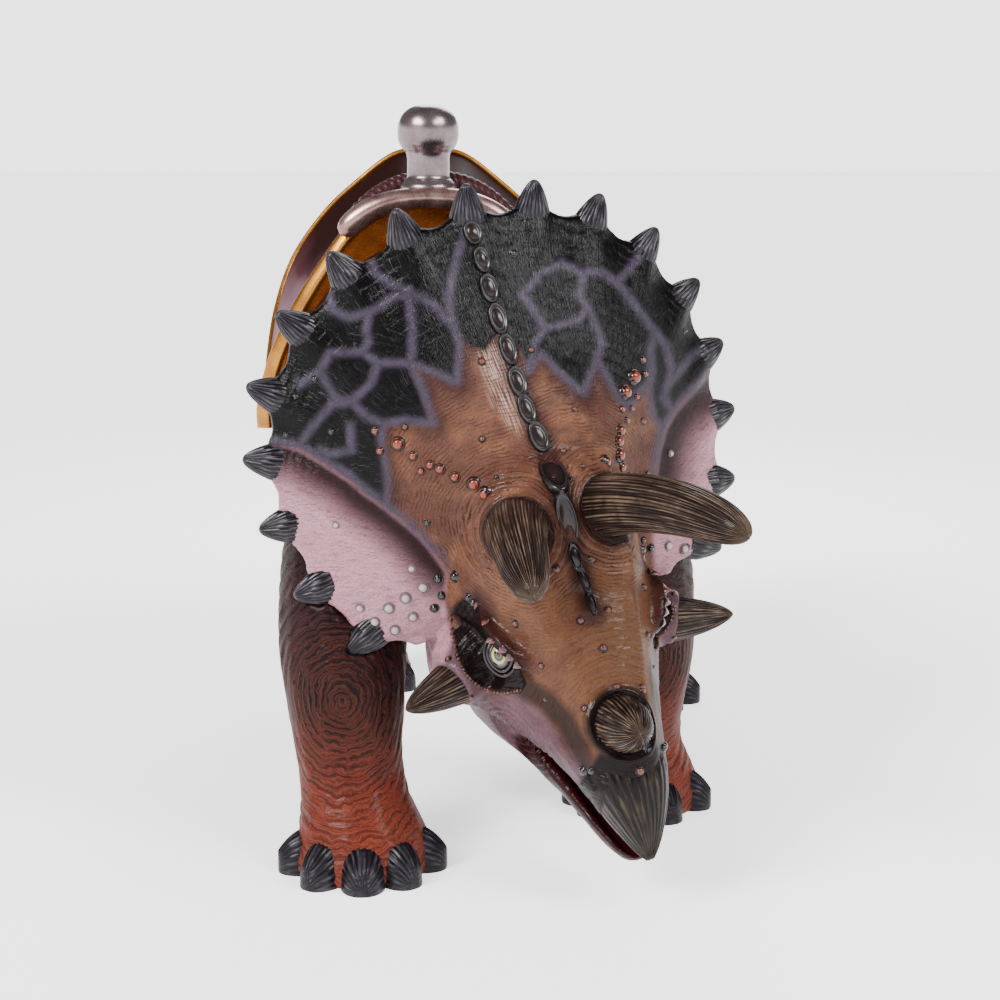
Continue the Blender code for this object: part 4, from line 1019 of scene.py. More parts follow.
    # Dark paint of the band and plum zones, with painted shade round the horns' feet
    skin = add(tree, "Mix", {"Factor": dusk, "A": skin, "B": tone("#211114")}, data_type="RGBA")
    skin = add(tree, "Mix", {"Factor": socket, "A": skin, "B": tone("#2a1e20")}, data_type="RGBA")
    skin = add(tree, "Mix", {"Factor": mouth, "A": skin, "B": tone("#42161a")}, data_type="RGBA")
    shade = add(tree, "MapRange", {"Value": grain, "From Min": 0.3, "From Max": 0.7, "To Min": 0.82,
                                   "To Max": 1.16})
    skin = add(tree, "Mix", {"Factor": 1.0, "A": skin, "B": shade}, data_type="RGBA",
               blend_type="MULTIPLY")
    tree.links.new(skin, shader.inputs["Base Color"])
    gloss = add(tree, "MapRange", {"Value": cloud, "From Min": 0.3, "From Max": 0.7, "To Min": 0.38,
                                   "To Max": 0.54})
    tree.links.new(gloss, shader.inputs["Roughness"])
    bump = add(tree, "Bump", {"Height": grain, "Strength": 0.25, "Distance": 0.0008})
    bump = add(tree, "Bump", {"Height": crease, "Normal": bump, "Strength": 0.7, "Distance": 0.0014},
               invert=True)
    ribs = add(tree, "Math", {0: hairs, 1: on_frill}, operation="MULTIPLY")
    bump = add(tree, "Bump", {"Height": ribs, "Normal": bump, "Strength": 0.7, "Distance": 0.0018})
    bump = add(tree, "Bump", {"Height": scratch_and_glint, "Normal": bump, "Strength": 0.6, "Distance": 0.0009})
    tree.links.new(bump, shader.inputs["Normal"])
    tree.links.new(bump, shader.inputs["Coat Normal"])
    return made


class STATUE_OT_body_skin(bpy.types.Operator):
    """Builds the skin of the trunk, neck, tail and legs as one surface"""
    bl_idname = "statue.body_skin"
    bl_label = "Body skin"

    def execute(self, context):
        nodes = ["torso", "neck", "tail", "front_leg_right", "front_leg_left", "hind_leg_right",
                 "hind_leg_left"]
        skin = skin_over("body_skin", [node_copy("flesh", nodes), neck_core()], sizes().body_grain, 4)
        # The front legs and the chest, which the picture shows, get finer faces
        choose(skin)
        for polygon in skin.data.polygons:
            c = polygon.center
            polygon.select = c.z < 0.40 and c.y < -0.10
        bpy.ops.object.mode_set(mode="EDIT")
        bpy.ops.mesh.subdivide(number_cuts=1, smoothness=0.0)
        bpy.ops.object.mode_set(mode="OBJECT")
        points = read(skin)
        flat = points - np.array(SHIFT)
        z = flat[:, 2]
        near = np.full(len(points), 9.0)
        for knee in KNEES:
            off = (flat - knee) * (1.0, 1.0, 0.86)
            near = np.minimum(near, np.linalg.norm(off, axis=1))
        warp = 0.010 * roughly(points, 12, 2.0) + 0.0030 * roughly(points, 45, 4.0)
        flow = near + warp
        # Wrinkles round the knees, broader ones elsewhere, and flat soles
        knee = np.sin(2 * math.pi * (near + 0.25 * warp) / KNEE_SPACING) * ease(near, 0.004, 0.012)
        knee *= 1 - ease(near, 0.060, 0.10)
        low = np.sin(2 * math.pi * flow / LEG_SPACING) * ease(near, 0.07, 0.11)
        lift = sizes().wrinkle * (0.9 * knee + 0.9 * low * ease(roughly(points, 20, 8.0), -0.3, 0.3))
        lift += 0.0022 * roughly(points, 14, 1.0)
        lift *= ease(z, 0.0, 0.02)
        moved = points + read(skin, "normal") * lift[:, None]
        moved[:, 2] = np.maximum(moved[:, 2], 0.0)
        write(skin, moved)
        store(skin, "flow", flow)
        finish_piece(skin, body_paint(), "skin", *nodes, sharp=80)
        return {"FINISHED"}


def body_paint():
    """Glass-fibre resin, painted rust and umber, with black rubbed into its wrinkles."""
    made, tree, shader = start_material("glass_fibre_resin_painted_body", 0.52, coat=0.05)
    home = add(tree, "TexCoord").node.outputs["Object"]
    flow = add(tree, "Attribute", attribute_name="flow").node.outputs["Fac"]
    high = add(tree, "SeparateXYZ", {0: home}).node.outputs["Z"]
    cloud = add(tree, "TexNoise", {"Vector": home, "Scale": 9.0, "Detail": 5.0, "Roughness": 0.6})
    grain = add(tree, "TexNoise", {"Vector": home, "Scale": 260.0, "Detail": 3.0})
    wobble = add(tree, "TexNoise", {"Vector": home, "Scale": 42.0, "Detail": 3.0})
    # Black wrinkle lines 10 mm apart, and fainter ones between them
    drift = add(tree, "Math", {0: wobble, 1: 0.022}, operation="MULTIPLY")
    where = add(tree, "Math", {0: flow, 1: drift}, operation="ADD")
    wave = add(tree, "Math", {0: where, 1: 2 * math.pi / 0.0098}, operation="MULTIPLY")
    wave = add(tree, "Math", {0: wave}, operation="SINE")
    crease = add(tree, "MapRange", {"Value": wave, "From Min": 0.45, "From Max": 0.80})
    broken = add(tree, "MapRange", {"Value": wobble, "From Min": 0.38, "From Max": 0.50})
    crease = add(tree, "Math", {0: crease, 1: broken}, operation="MULTIPLY")
    fine = add(tree, "Math", {0: where, 1: 2 * math.pi / 0.0042}, operation="MULTIPLY")
    fine = add(tree, "Math", {0: fine}, operation="SINE")
    fine = add(tree, "MapRange", {"Value": fine, "From Min": 0.45, "From Max": 0.9, "To Max": 0.62})
    crease = add(tree, "Math", {0: crease, 1: fine}, operation="MAXIMUM")
    heavy = add(tree, "MapRange", {"Value": high, "From Min": 0.10, "From Max": 0.28, "To Min": 0.55,
                                   "To Max": 1.0})
    crease = add(tree, "Math", {0: crease, 1: heavy}, operation="MULTIPLY")
    dark = add(tree, "MapRange", {"Value": cloud, "To Min": -0.10, "To Max": 0.10})
    dark = add(tree, "Math", {0: high, 1: dark}, operation="ADD")
    skin = add(tree, "ValToRGB", {0: dark}, ramp=[
        (0.0, colour("rust")), (0.12, tone("#8c4939")), (0.23, tone("#64372c")),
        (0.36, colour("umber")), (0.75, tone("#3d2224"))])
    skin = add(tree, "Mix", {"Factor": crease, "A": skin, "B": tone("#1a0f0f")}, data_type="RGBA")
    shade = add(tree, "MapRange", {"Value": grain, "From Min": 0.3, "From Max": 0.7, "To Min": 0.80,
                                   "To Max": 1.14})
    skin = add(tree, "Mix", {"Factor": 1.0, "A": skin, "B": shade}, data_type="RGBA",
               blend_type="MULTIPLY")
    tree.links.new(skin, shader.inputs["Base Color"])
    bump = add(tree, "Bump", {"Height": grain, "Strength": 0.3, "Distance": 0.001})
    bump = add(tree, "Bump", {"Height": crease, "Normal": bump, "Strength": 0.8, "Distance": 0.0022},
               invert=True)
    tree.links.new(bump, shader.inputs["Normal"])
    return made


def horn_paint(name, base, ridge, tip, roughness=0.42, coat=0.12):
    """Moulded resin painted as horn, with painted shade: darker in its grooves and at its foot, where it
    meets the skin.
    """
    made, tree, shader = start_material(name, roughness, coat=coat)
    home = add(tree, "TexCoord").node.outputs["Object"]
    groove = add(tree, "Attribute", attribute_name="groove").node.outputs["Fac"]
    reach = add(tree, "Attribute", attribute_name="reach").node.outputs["Fac"]
    streaks = add(tree, "Attribute", attribute_name="streaks").node.outputs["Vector"]
    grain = add(tree, "TexNoise", {"Vector": home, "Scale": 420.0, "Detail": 3.0})
    cloud = add(tree, "TexNoise", {"Vector": home, "Scale": 50.0, "Detail": 3.0})
    # Streaks one or two millimetres wide that run lengthwise
    streak = add(tree, "TexNoise", {"Vector": streaks, "Scale": 1.9, "Detail": 3.0, "Roughness": 0.6})
    thin = add(tree, "MapRange", {"Value": streak, "From Min": 0.46, "From Max": 0.60})
    worn = add(tree, "MapRange", {"Value": cloud, "From Min": 0.30, "From Max": 0.60, "To Min": 0.3})
    thin = add(tree, "Math", {0: thin, 1: worn}, operation="MULTIPLY")
    skin = add(tree, "Mix", {"Factor": thin, "A": base, "B": ridge}, data_type="RGBA")
    pale = add(tree, "MapRange", {"Value": reach, "From Min": 0.86, "From Max": 1.0, "To Max": 0.8})
    skin = add(tree, "Mix", {"Factor": pale, "A": skin, "B": tip}, data_type="RGBA")
    # Painted shade in the grooves, darker where they are deeper
    deep = add(tree, "Math", {0: groove, 1: 0.88}, operation="MULTIPLY")
    skin = add(tree, "Mix", {"Factor": deep, "A": skin, "B": tone("#140e0e")}, data_type="RGBA")
    # Painted shade at the horn's foot, where it meets the skin
    foot = add(tree, "MapRange", {"Value": reach, "From Min": 0.02, "From Max": 0.16, "To Min": 0.85,
                                  "To Max": 0.0})
    skin = add(tree, "Mix", {"Factor": foot, "A": skin, "B": tone("#1c1514")}, data_type="RGBA")
    shade = add(tree, "MapRange", {"Value": grain, "From Min": 0.3, "From Max": 0.7, "To Min": 0.84,
                                   "To Max": 1.14})
    skin = add(tree, "Mix", {"Factor": 1.0, "A": skin, "B": shade}, data_type="RGBA",
               blend_type="MULTIPLY")
    tree.links.new(skin, shader.inputs["Base Color"])
    bump = add(tree, "Bump", {"Height": streak, "Strength": 0.5, "Distance": 0.0009})
    bump = add(tree, "Bump", {"Height": grain, "Normal": bump, "Strength": 0.2, "Distance": 0.0006})
    tree.links.new(bump, shader.inputs["Normal"])
    return made


class STATUE_OT_horns(bpy.types.Operator):
    """Models the two brow horns, two cheek horns and the nose horn with their grooves"""
    bl_idname = "statue.horns"
    bl_label = "Horns"

    def execute(self, context):
        paint = horn_paint("resin_painted_as_horn", tone("#433532"), tone("#9a8473"), tone("#8f7c6c"))
        # Name, shape, side, rings, sides and number of grooves
        jobs = [("brow_horn", BROW_HORN, side, 70, 224, 50) for side in (-1, 1)]
        jobs += [("cheek_horn", CHEEK_HORN, side, 44, 176, 36) for side in (-1, 1)]
        jobs.append(("nose_horn", NOSE_HORN, 0, 40, 192, 40))
        for name, shape, side, rings, sides, count in jobs:
            path, radii = horn_path(*shape, side or 1, rings)
            node = name if side == 0 else name + ("_left" if side > 0 else "_right")
            made = column(node + "_grooved", sides, rings, tube_place(path, radii))
            groove_surface(made, path, sizes().groove, count, 1.0 + side)
            finish_piece(made, paint, "horn", node)
        return {"FINISHED"}


class STATUE_OT_beak(bpy.types.Operator):
    """Models the hooked upper beak"""
    bl_idname = "statue.beak"
    bl_label = "Beak"

    def execute(self, context):
        rings = 60
        y, half, top, edge = spline(BEAK, rings).T

        def place(step, turn):
            i = np.rint(step * (rings - 1)).astype(int)
            c, s = np.cos(turn), np.sin(turn)
            z = (top[i] + edge[i]) / 2 + (top[i] - edge[i]) / 2 * np.sign(s) * np.abs(s) ** 0.75
            wide = (half[i] + 0.0008) * np.sign(c) * np.abs(c) ** 0.8
            return put(HEAD, np.stack([wide, y[i], z], axis=1))

        made = column("beak_grooved", 192, rings, place)
        local = put(HEAD_BACK, read(made))
        step = ease(-local[:, 1], 0.325, 0.445)
        low = (local[:, 2] + 0.145) / 0.10
        turn = np.arctan2(low * 0.06, local[:, 0])
        deep = grooves(step, turn, 44, 4.0)
        write(made, read(made) - read(made, "normal") * (deep * 0.0008)[:, None])
        store(made, "groove", 0.8 * deep)
        store(made, "reach", 0.25 + 0.6 * step)
        store(made, "streaks", grain_space(step, turn, 44))
        paint = horn_paint("resin_painted_as_beak", tone("#241c1d"), tone("#5f5145"), tone("#43382f"), 0.38)
        finish_piece(made, paint, "horn", "beak")
        return {"FINISHED"}


class STATUE_OT_spikes(bpy.types.Operator):
    """Models one fluted spike and stands seventeen of them round the frill's rim"""
    bl_idname = "statue.spikes"
    bl_label = "Frill spikes"

    def execute(self, context):
        rings, sides, count = 26, 144, 24
        s, r = spline(SPIKE_PROFILE, rings).T

        def place(step, turn):
            i = np.rint(step * (rings - 1)).astype(int)
            flute = grooves(s[i], turn, count, 2.0, 0.3) * (0.35 + 0.65 * ease(s[i], 0.2, 0.5))
            radius = r[i] * (1 - 0.085 * flute * (1 - ease(s[i], 0.86, 1.0)))
            return np.stack([radius * np.cos(turn), radius * np.sin(turn), s[i]], axis=1)

        model = column("spike", sides, rings, place)
        points = read(model)
        turn = np.arctan2(points[:, 1], points[:, 0])
        store(model, "groove", grooves(points[:, 2], turn, count, 2.0, 0.3))
        store(model, "reach", 0.2 + 0.75 * np.clip(points[:, 2], 0, 1))
        store(model, "streaks", grain_space(points[:, 2] * 0.6, turn, count))
        grid, normal = frill_sheet(10, 8)
        middle = grid.shape[1] // 2
        matrices = []
        half = sizes().spike_half
        for k in range(-8, 9):
            tip = Vector(SPIKE_TIPS[abs(k)])
            tip.x *= 1 if k > 0 else -1
            base = Vector(grid[-1, middle + k])
            out = tip - base
            size = (half, half * 0.86, out.length)
            matrices.append(HEAD @ aimed(base, out, Vector(normal[-1, middle + k]).cross(out), size))
        made = copies(model, "frill_spikes", matrices)
        bpy.data.objects.remove(model)
        paint = horn_paint("resin_painted_slate", tone("#2b262e"), tone("#7a737f"), tone("#77707c"), 0.36,
                           0.25)
        finish_piece(made, paint, "frill", sharp=70)
        return {"FINISHED"}


class STATUE_OT_hooves(bpy.types.Operator):
    """Models one grooved hoof and sets it round each foot"""
    bl_idname = "statue.hooves"
    bl_label = "Hooves"

    def execute(self, context):
        rings, sides, count = 36, 112, 30

        def place(step, turn):
            wide = np.sqrt(np.maximum(0.003, 1 - (0.985 * step) ** 3.0))
            tall = 1.0 - 0.50 * step ** 2.2
            c, s = np.cos(turn), np.sin(turn)
            flute = grooves(step, turn, count, 6.0, 0.3) * (s > 0.08) * (0.3 + 0.7 * ease(step, 0.2, 0.6))
            lift = np.where(s > 0, np.abs(s) ** 0.72, 0.0)
            side = np.sign(c) * np.abs(c) ** 0.82
            out = 1 - 0.04 * flute
            return np.stack([wide * side * out, step - 0.45, tall * lift * out], axis=1)

        model = column("hoof", sides, rings, place)
        points = read(model)
        turn = np.arctan2(points[:, 2] / 0.7, points[:, 0])
        step = points[:, 1] + 0.45
        store(model, "groove", grooves(step, turn, count, 6.0, 0.3) * (points[:, 2] > 0.02))
        store(model, "reach", 0.14 + 0.7 * step)
        store(model, "streaks", grain_space(step * 0.7, turn, count))
        paint = horn_paint("resin_painted_as_hoof", tone("#332e36"), tone("#625b67"), tone("#5c5661"), 0.45)
        for foot, (heading, angles, (x, y), radius) in FEET.items():
            matrices = []
            for angle in angles:
                a = math.radians(heading + angle)
                out = Vector((math.sin(a), -math.cos(a), 0))
                scale = 1.0 - 0.12 * abs(angle) / 80
                at = Vector((x, y, 0)) + out * radius * 0.90 + SHIFT
                side = Vector((out.y, -out.x, 0))
                turn = Matrix((side, out, Vector((0, 0, 1)))).transposed().to_4x4()
                size = Matrix.Diagonal((0.0330 * scale, 0.0560, 0.0630, 1.0))
                matrices.append(Matrix.Translation(at) @ turn @ size)
            made = copies(model, "hooves_" + foot, matrices)
            face_out(made)
            finish_piece(made, paint, "horn", sharp=60)
        bpy.data.objects.remove(model)
        return {"FINISHED"}


def saddle_curve(rows, count):
    """A saddle line from the right tip over the crown to the left tip, in the statue's frame."""
    half = spline(rows, (count + 1) // 2)
    full = np.vstack([half[:0:-1] * (-1, 1, 1), half])
    return full + (SADDLE_MIDDLE, SHIFT.y, 0)


class STATUE_OT_saddle_leather(bpy.types.Operator):
    """Builds the leather seat, flaps and flared cantle as one closed body"""
    bl_idname = "statue.saddle_leather"
    bl_label = "Saddle leather"

    def execute(self, context):
        trunk = tree_of(bpy.data.objects["body_skin"])
        count, steps = 81, 41
        front, rear = saddle_curve(FRONT_EDGE, count), saddle_curve(REAR_RIM, count)
        axis = np.array((SADDLE_MIDDLE, -0.02 + SHIFT.y, 0.60))
        top = []
        for s in np.linspace(0, 1, steps):
            line = front + (rear - front) * s
            inward = axis - line
            inward[:, 1] = 0
            inward /= np.linalg.norm(inward, axis=1, keepdims=True)
            crown = np.cos(np.linspace(-1, 1, count) * math.pi / 2) ** 1.2
            line = line + inward * (0.050 * crown * math.sin(math.pi * s**0.85))[:, None]
            if 0 < s < 1:
                for i, point in enumerate(line):
                    out = Vector(-inward[i])
                    origin = Vector((axis[0], point[1], axis[2]))
                    hit, _, _, reach = trunk.ray_cast(origin, out, 1.0)
                    far = (point - axis) @ np.array(out)
                    if hit and far < reach + sizes().leather:
                        line[i] = point + np.array(out) * (reach + sizes().leather - far)
            top.append(line)
        top = np.array(top)
        inner = axis + (top - axis) * (0.62, 1.0, 0.62)
        inner[:, :, 1] = SHIFT.y + (top[:, :, 1] - SHIFT.y) * 0.86 - 0.006
        points = np.concatenate([top.reshape(-1, 3), inner.reshape(-1, 3)])
        faces = []
        half, last = steps * count, (steps - 1) * count
        for r in range(steps - 1):
            for i in range(count - 1):
                a, b = r * count + i, r * count + i + 1
                faces.append((a, b, b + count, a + count))
                faces.append((half + a + count, half + b + count, half + b, half + a))
        for i in range(count - 1):
            faces.append((i + 1, i, half + i, half + i + 1))
            faces.append((last + i, last + i + 1, half + last + i + 1, half + last + i))
        for i in (0, count - 1):
            for r in range(steps - 1):
                a, b = r * count + i, (r + 1) * count + i
                faces.append((a, b, half + b, half + a))
        made = from_faces("saddle_leather", points, faces)
        face_out(made)
        finish_piece(made, leather_paint(), "leather", "saddle_seat", sharp=40)
        return {"FINISHED"}


def leather_paint():
    """Moulded resin painted as leather: mauve, darker towards the cantle, under satin varnish."""
    made, tree, shader = start_material("resin_painted_as_leather", 0.44, coat=0.04, coat_roughness=0.2,
                                        shine=0.05)
    home = add(tree, "TexCoord").node.outputs["Object"]
    high = add(tree, "SeparateXYZ", {0: home}).node.outputs["Z"]
    drawn = add(tree, "Mapping", {"Vector": home, "Rotation": (0.0, 0.5, 0.0), "Scale": (14.0, 5.0, 5.0)})
    cloud = add(tree, "TexNoise", {"Vector": drawn, "Scale": 1.6, "Detail": 3.0})
    spread = add(tree, "MapRange", {"Value": cloud, "To Min": -0.08, "To Max": 0.08})
    at = add(tree, "Math", {0: high, 1: spread}, operation="ADD")
    skin = add(tree, "ValToRGB", {0: at}, ramp=[
        (0.55, tone("#7a616a")), (0.74, colour("leather")), (0.82, tone("#664349")),
        (0.88, tone("#3d1f1d")), (1.0, tone("#381b19"))])
    grain = add(tree, "TexVoronoi", {"Vector": home, "Scale": 420.0})
    tree.links.new(skin, shader.inputs["Base Color"])
    bump = add(tree, "Bump", {"Height": grain, "Strength": 0.08, "Distance": 0.0005})
    tree.links.new(bump, shader.inputs["Normal"])
    return made


def metal_paint(name, shade, roughness, dusk, metallic=0.9):
    """Metal powder paint, rubbed by hand, so that its tint and gloss vary a little."""
    made, tree, shader = start_material(name, roughness, metallic=metallic)
    home = add(tree, "TexCoord").node.outputs["Object"]
    cloud = add(tree, "TexNoise", {"Vector": home, "Scale": 30.0, "Detail": 4.0, "Roughness": 0.6})
    worn = add(tree, "MapRange", {"Value": cloud, "From Min": 0.35, "From Max": 0.68})
    skin = add(tree, "Mix", {"Factor": worn, "A": shade, "B": dusk}, data_type="RGBA")
    tree.links.new(skin, shader.inputs["Base Color"])
    fine = add(tree, "TexNoise", {"Vector": home, "Scale": 700.0, "Detail": 2.0})
    gloss = add(tree, "MapRange", {"Value": fine, "To Min": roughness - 0.05, "To Max": roughness + 0.10})
    tree.links.new(gloss, shader.inputs["Roughness"])
    bump = add(tree, "Bump", {"Height": fine, "Strength": 0.10, "Distance": 0.0004})
    tree.links.new(bump, shader.inputs["Normal"])
    return made


class STATUE_OT_saddle_metal(bpy.types.Operator):
    """Models the saddle's horn, fork, front band and rear bead"""
    bl_idname = "statue.saddle_metal"
    bl_label = "Saddle metal"

    def execute(self, context):
        colours = context.scene.statue_colours
        pewter = metal_paint("silver_paint_satin", (*colours.silver, 1.0), 0.24, metal_tone("#65575b"))
        copper = metal_paint("copper_silver_paint_satin", metal_tone("#b8968f"), 0.26,
                             metal_tone("#745653"))
        gold = metal_paint("gold_paint_satin", (*colours.gold, 1.0), 0.26, metal_tone("#94602a"))
        # The round horn, turned
        base = Vector((SADDLE_X, HORN_Y, 0.952)) + SHIFT
        rings = 96
        radius, high = spline(HORN_PROFILE, rings).T

        def turned(step, turn):
            i = np.rint(step * (rings - 1)).astype(int)
            return np.stack([base.x + radius[i] * np.cos(turn), base.y + radius[i] * np.sin(turn),
                             base.z + high[i]], axis=1)

        finish_piece(column("saddle_horn_turned", 72, rings, turned), pewter, "silver", "saddle_horn",
                     sharp=60)
        # The bent fork under it, thinner towards its ends
        steps = 81
        a = np.linspace(-1, 1, steps)
        path = np.stack([SADDLE_X + 0.133 * a + SHIFT.x, np.full(steps, -0.220 + SHIFT.y),
                         0.949 - 0.055 * (0.35 * a**2 + 0.65 * np.abs(a) ** 3.2)], axis=1)
        radii = 0.0185 * (0.80 + 0.24 * np.abs(a)) * np.sqrt(np.maximum(0.01, 1 - np.abs(a) ** 16))
        finish_piece(column("saddle_fork_smooth", 48, steps, tube_place(path, radii)), copper, "silver",
                     "saddle_fork", sharp=60)
        # The flat band along the saddle's front edge
        path = saddle_curve(FRONT_EDGE, 141)
        off = path - np.array((SADDLE_MIDDLE, path[0][1], 0.60))
        off[:, 1] = 0
        out = off / np.linalg.norm(off, axis=1, keepdims=True)
        face = out * 0.50 + np.array((0, -0.866, 0))
        across = out * 0.866 + np.array((0, 0.50, 0))

        def strap(step, turn):
            i = np.rint(step * 140).astype(int)
            c = np.sign(np.cos(turn)) * np.abs(np.cos(turn)) ** 0.7
            s = np.sign(np.sin(turn)) * np.abs(np.sin(turn)) ** 0.8
            return path[i] + across[i] * 0.0125 * c[:, None] + face[i] * 0.0072 * s[:, None]

        finish_piece(column("saddle_front_band", 36, 141, strap), gold, "gold", "saddle_front_trim")
        # The bead on the cantle's rim
        path = saddle_curve(REAR_RIM, 141)
        made = column("saddle_rear_bead", 20, 141, tube_place(path, [0.0048] * 141))
        finish_piece(made, gold, "gold", "saddle_rear_trim")
        # The amber panel inside the front band
        edge = saddle_curve(FRONT_EDGE, 101)
        middle = np.array((SADDLE_MIDDLE, 0, 0.60))

        def panel(u, v):
            i = np.rint(u * 100).astype(int)
            inward = (middle - edge[i]) * (1, 0, 1)
            spot = edge[i] + inward * (0.02 + 0.36 * v)[:, None]
            spot[:, 1] = edge[i][:, 1] - 0.004 + 0.020 * v
            return spot

        made = sheet("gullet_panel", 100, 10, panel)
        apply_modifier(made, "SOLIDIFY", thickness=0.003, offset=0)
        amber = metal_paint("amber_metal_paint", metal_tone("#b9672a"), 0.26, metal_tone("#8a4318"), 0.8)
        finish_piece(made, amber, "gold")
        return {"FINISHED"}


class STATUE_OT_rope(bpy.types.Operator):
    """Braids the dark roll behind the fork from three strands"""
    bl_idname = "statue.rope"
    bl_label = "Braided roll"

    def execute(self, context):
        steps = 241
        a = np.linspace(-1, 1, steps)
        middle = np.stack([SADDLE_X + 0.005 + 0.137 * a + SHIFT.x, -0.152 + 0.01 * a * a + SHIFT.y,
                           0.973 - 0.076 * (0.5 * a**2 + 0.5 * np.abs(a) ** 3)], axis=1)
        strands = []
        for k in range(3):
            phase = a * 2 * math.pi * 4.5 + k * 2 * math.pi / 3
            path = middle + np.stack([0 * a, 0.0080 * np.cos(phase), 0.0080 * np.sin(phase)], axis=1)
            strands.append(column("strand", 16, steps, tube_place(path, [0.0088] * steps)))
        made = join("saddle_rope_braided", strands)
        # Resin moulded and painted as braided leather: dull, with fine fibres
        made_paint, tree, shader = start_material("resin_painted_as_braid", 0.45, coat=0.08)
        home = add(tree, "TexCoord").node.outputs["Object"]
        fibre = add(tree, "TexNoise", {"Vector": home, "Scale": 300.0, "Detail": 3.0})
        skin = add(tree, "Mix", {"Factor": fibre, "A": tone("#2c1718"), "B": tone("#74494d")},
                   data_type="RGBA")
        tree.links.new(skin, shader.inputs["Base Color"])
        bump = add(tree, "Bump", {"Height": fibre, "Strength": 0.5, "Distance": 0.001})
        tree.links.new(bump, shader.inputs["Normal"])
        finish_piece(made, made_paint, "leather", "saddle_rope")
        return {"FINISHED"}


class STATUE_OT_eyes(bpy.types.Operator):
    """Models the two eyes with their yellow rings, and the lids round them"""
    bl_idname = "statue.eyes"
    bl_label = "Eyes and lids"

    def execute(self, context):
        # Painted resin under thick clear varnish: sharp lights over a yellow ring
        paint, tree, shader = start_material("resin_painted_eye_varnished", 0.12, coat=1.0, shine=0.3)
        rings = add(tree, "Attribute", attribute_name="rings").node.outputs["Fac"]
        speck = add(tree, "TexNoise", {"Vector": add(tree, "TexCoord").node.outputs["Object"],
                                       "Scale": 900.0})
        speck = add(tree, "Math", {0: speck, 1: 0.03}, operation="MULTIPLY")
        near = add(tree, "Math", {0: rings, 1: speck}, operation="ADD")
        skin = add(tree, "ValToRGB", {0: near}, ramp=[
            (0.0, tone("#0d0b0a")), (0.18, tone("#0d0b0a")), (0.23, tone("#8f875c")),
            (0.30, tone("#14110f")), (0.46, tone("#14110f")), (0.52, tone("#e0d684")),
            (0.68, tone("#cfc474")), (0.74, tone("#1a1513"))])
        tree.links.new(skin, shader.inputs["Base Color"])
        # Dark painted resin, half gloss: soft lights along the folds
        lid_paint, tree, shader = start_material("resin_painted_lid", 0.3, coat=0.3, shine=0.3)
        grain = add(tree, "TexNoise", {"Vector": add(tree, "TexCoord").node.outputs["Object"],
                                       "Scale": 300.0, "Detail": 3.0})
        skin = add(tree, "Mix", {"Factor": grain, "A": tone("#191113"), "B": tone("#3c2d30")},
                   data_type="RGBA")
        tree.links.new(skin, shader.inputs["Base Color"])
        right_eye = Vector((-EYE_AT.x, EYE_AT.y, EYE_AT.z))
        to_camera = (HEAD_BACK @ CAMERA_AT - right_eye).normalized()
        look = (Vector((-0.86, -0.36, 0.30)).normalized() * 0.4 + to_camera).normalized()
        for side in (-1, 1):
            name = "left" if side > 0 else "right"
            turned = Vector((-side * look.x, look.y, look.z))
            gaze = HEAD.to_3x3() @ turned
            at = HEAD @ (Vector((EYE_AT.x * side, EYE_AT.y, EYE_AT.z)) + Vector((0.004 * side, 0, -0.001))
                         + turned * 0.004)
            clear_selection()
            bpy.ops.mesh.primitive_uv_sphere_add(segments=64, ring_count=40, radius=EYE_RADIUS)
            made = bpy.context.object
            made.name = made.data.name = "eyeball_" + name
            made.data.transform(aimed(at, gaze, (0, 0, 1), (1, 1, 1)))
            along = HEAD.to_3x3() @ Vector((0.25 * side, -0.85, -0.45))
            along = (along - gaze * along.dot(gaze)).normalized()
            over = gaze.cross(along)
            off = read(made) - np.array(at)
            away = np.hypot(off @ np.array(along), 1.35 * (off @ np.array(over))) / EYE_RADIUS
            away = np.where(off @ np.array(gaze) > 0, away, 1.0)
            store(made, "rings", away)
            finish_piece(made, paint, "eye", "eye_" + name)
            # Each lid: half length, half width, height over the eye's middle, thickness
            lids = []
            for length, width, high, thick in ((0.0172, 0.0122, 0.0128, 0.0028),
                                               (0.0238, 0.0172, 0.0075, 0.0028),
                                               (0.0310, 0.0230, 0.0010, 0.0028)):
                bpy.ops.mesh.primitive_torus_add(major_segments=72, minor_segments=12,
                                                 major_radius=1.0, minor_radius=0.25)
                lid = bpy.context.object
                raw = read(lid)
                turn = np.arctan2(raw[:, 1], raw[:, 0])
                puff = (np.hypot(raw[:, 0], raw[:, 1]) - 1) * 4 * thick
                far = (length + puff) * np.cos(turn)
                wide = (width + puff) * np.sin(turn) * (0.72 + 0.28 * np.abs(np.sin(turn)))
                rise = high + raw[:, 2] * 4 * thick - 0.006 * np.cos(turn) ** 2
                write(lid, np.array(at) + np.outer(far, along) + np.outer(wide, over)
                      + np.outer(rise, gaze))
                lids.append(lid)
            made = join("eyelids_" + name, lids)
            face_out(made)
            finish_piece(made, lid_paint, "skin", sharp=80)
        return {"FINISHED"}


class STATUE_OT_girth(bpy.types.Operator):
    """Gives the belly strap its finish"""
    bl_idname = "statue.girth"
    bl_label = "Belly strap"

    def execute(self, context):
        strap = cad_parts["girth"]
        strap.data.materials.clear()
        strap.data.materials.append(bpy.data.materials["resin_painted_as_leather"])
        return {"FINISHED"}


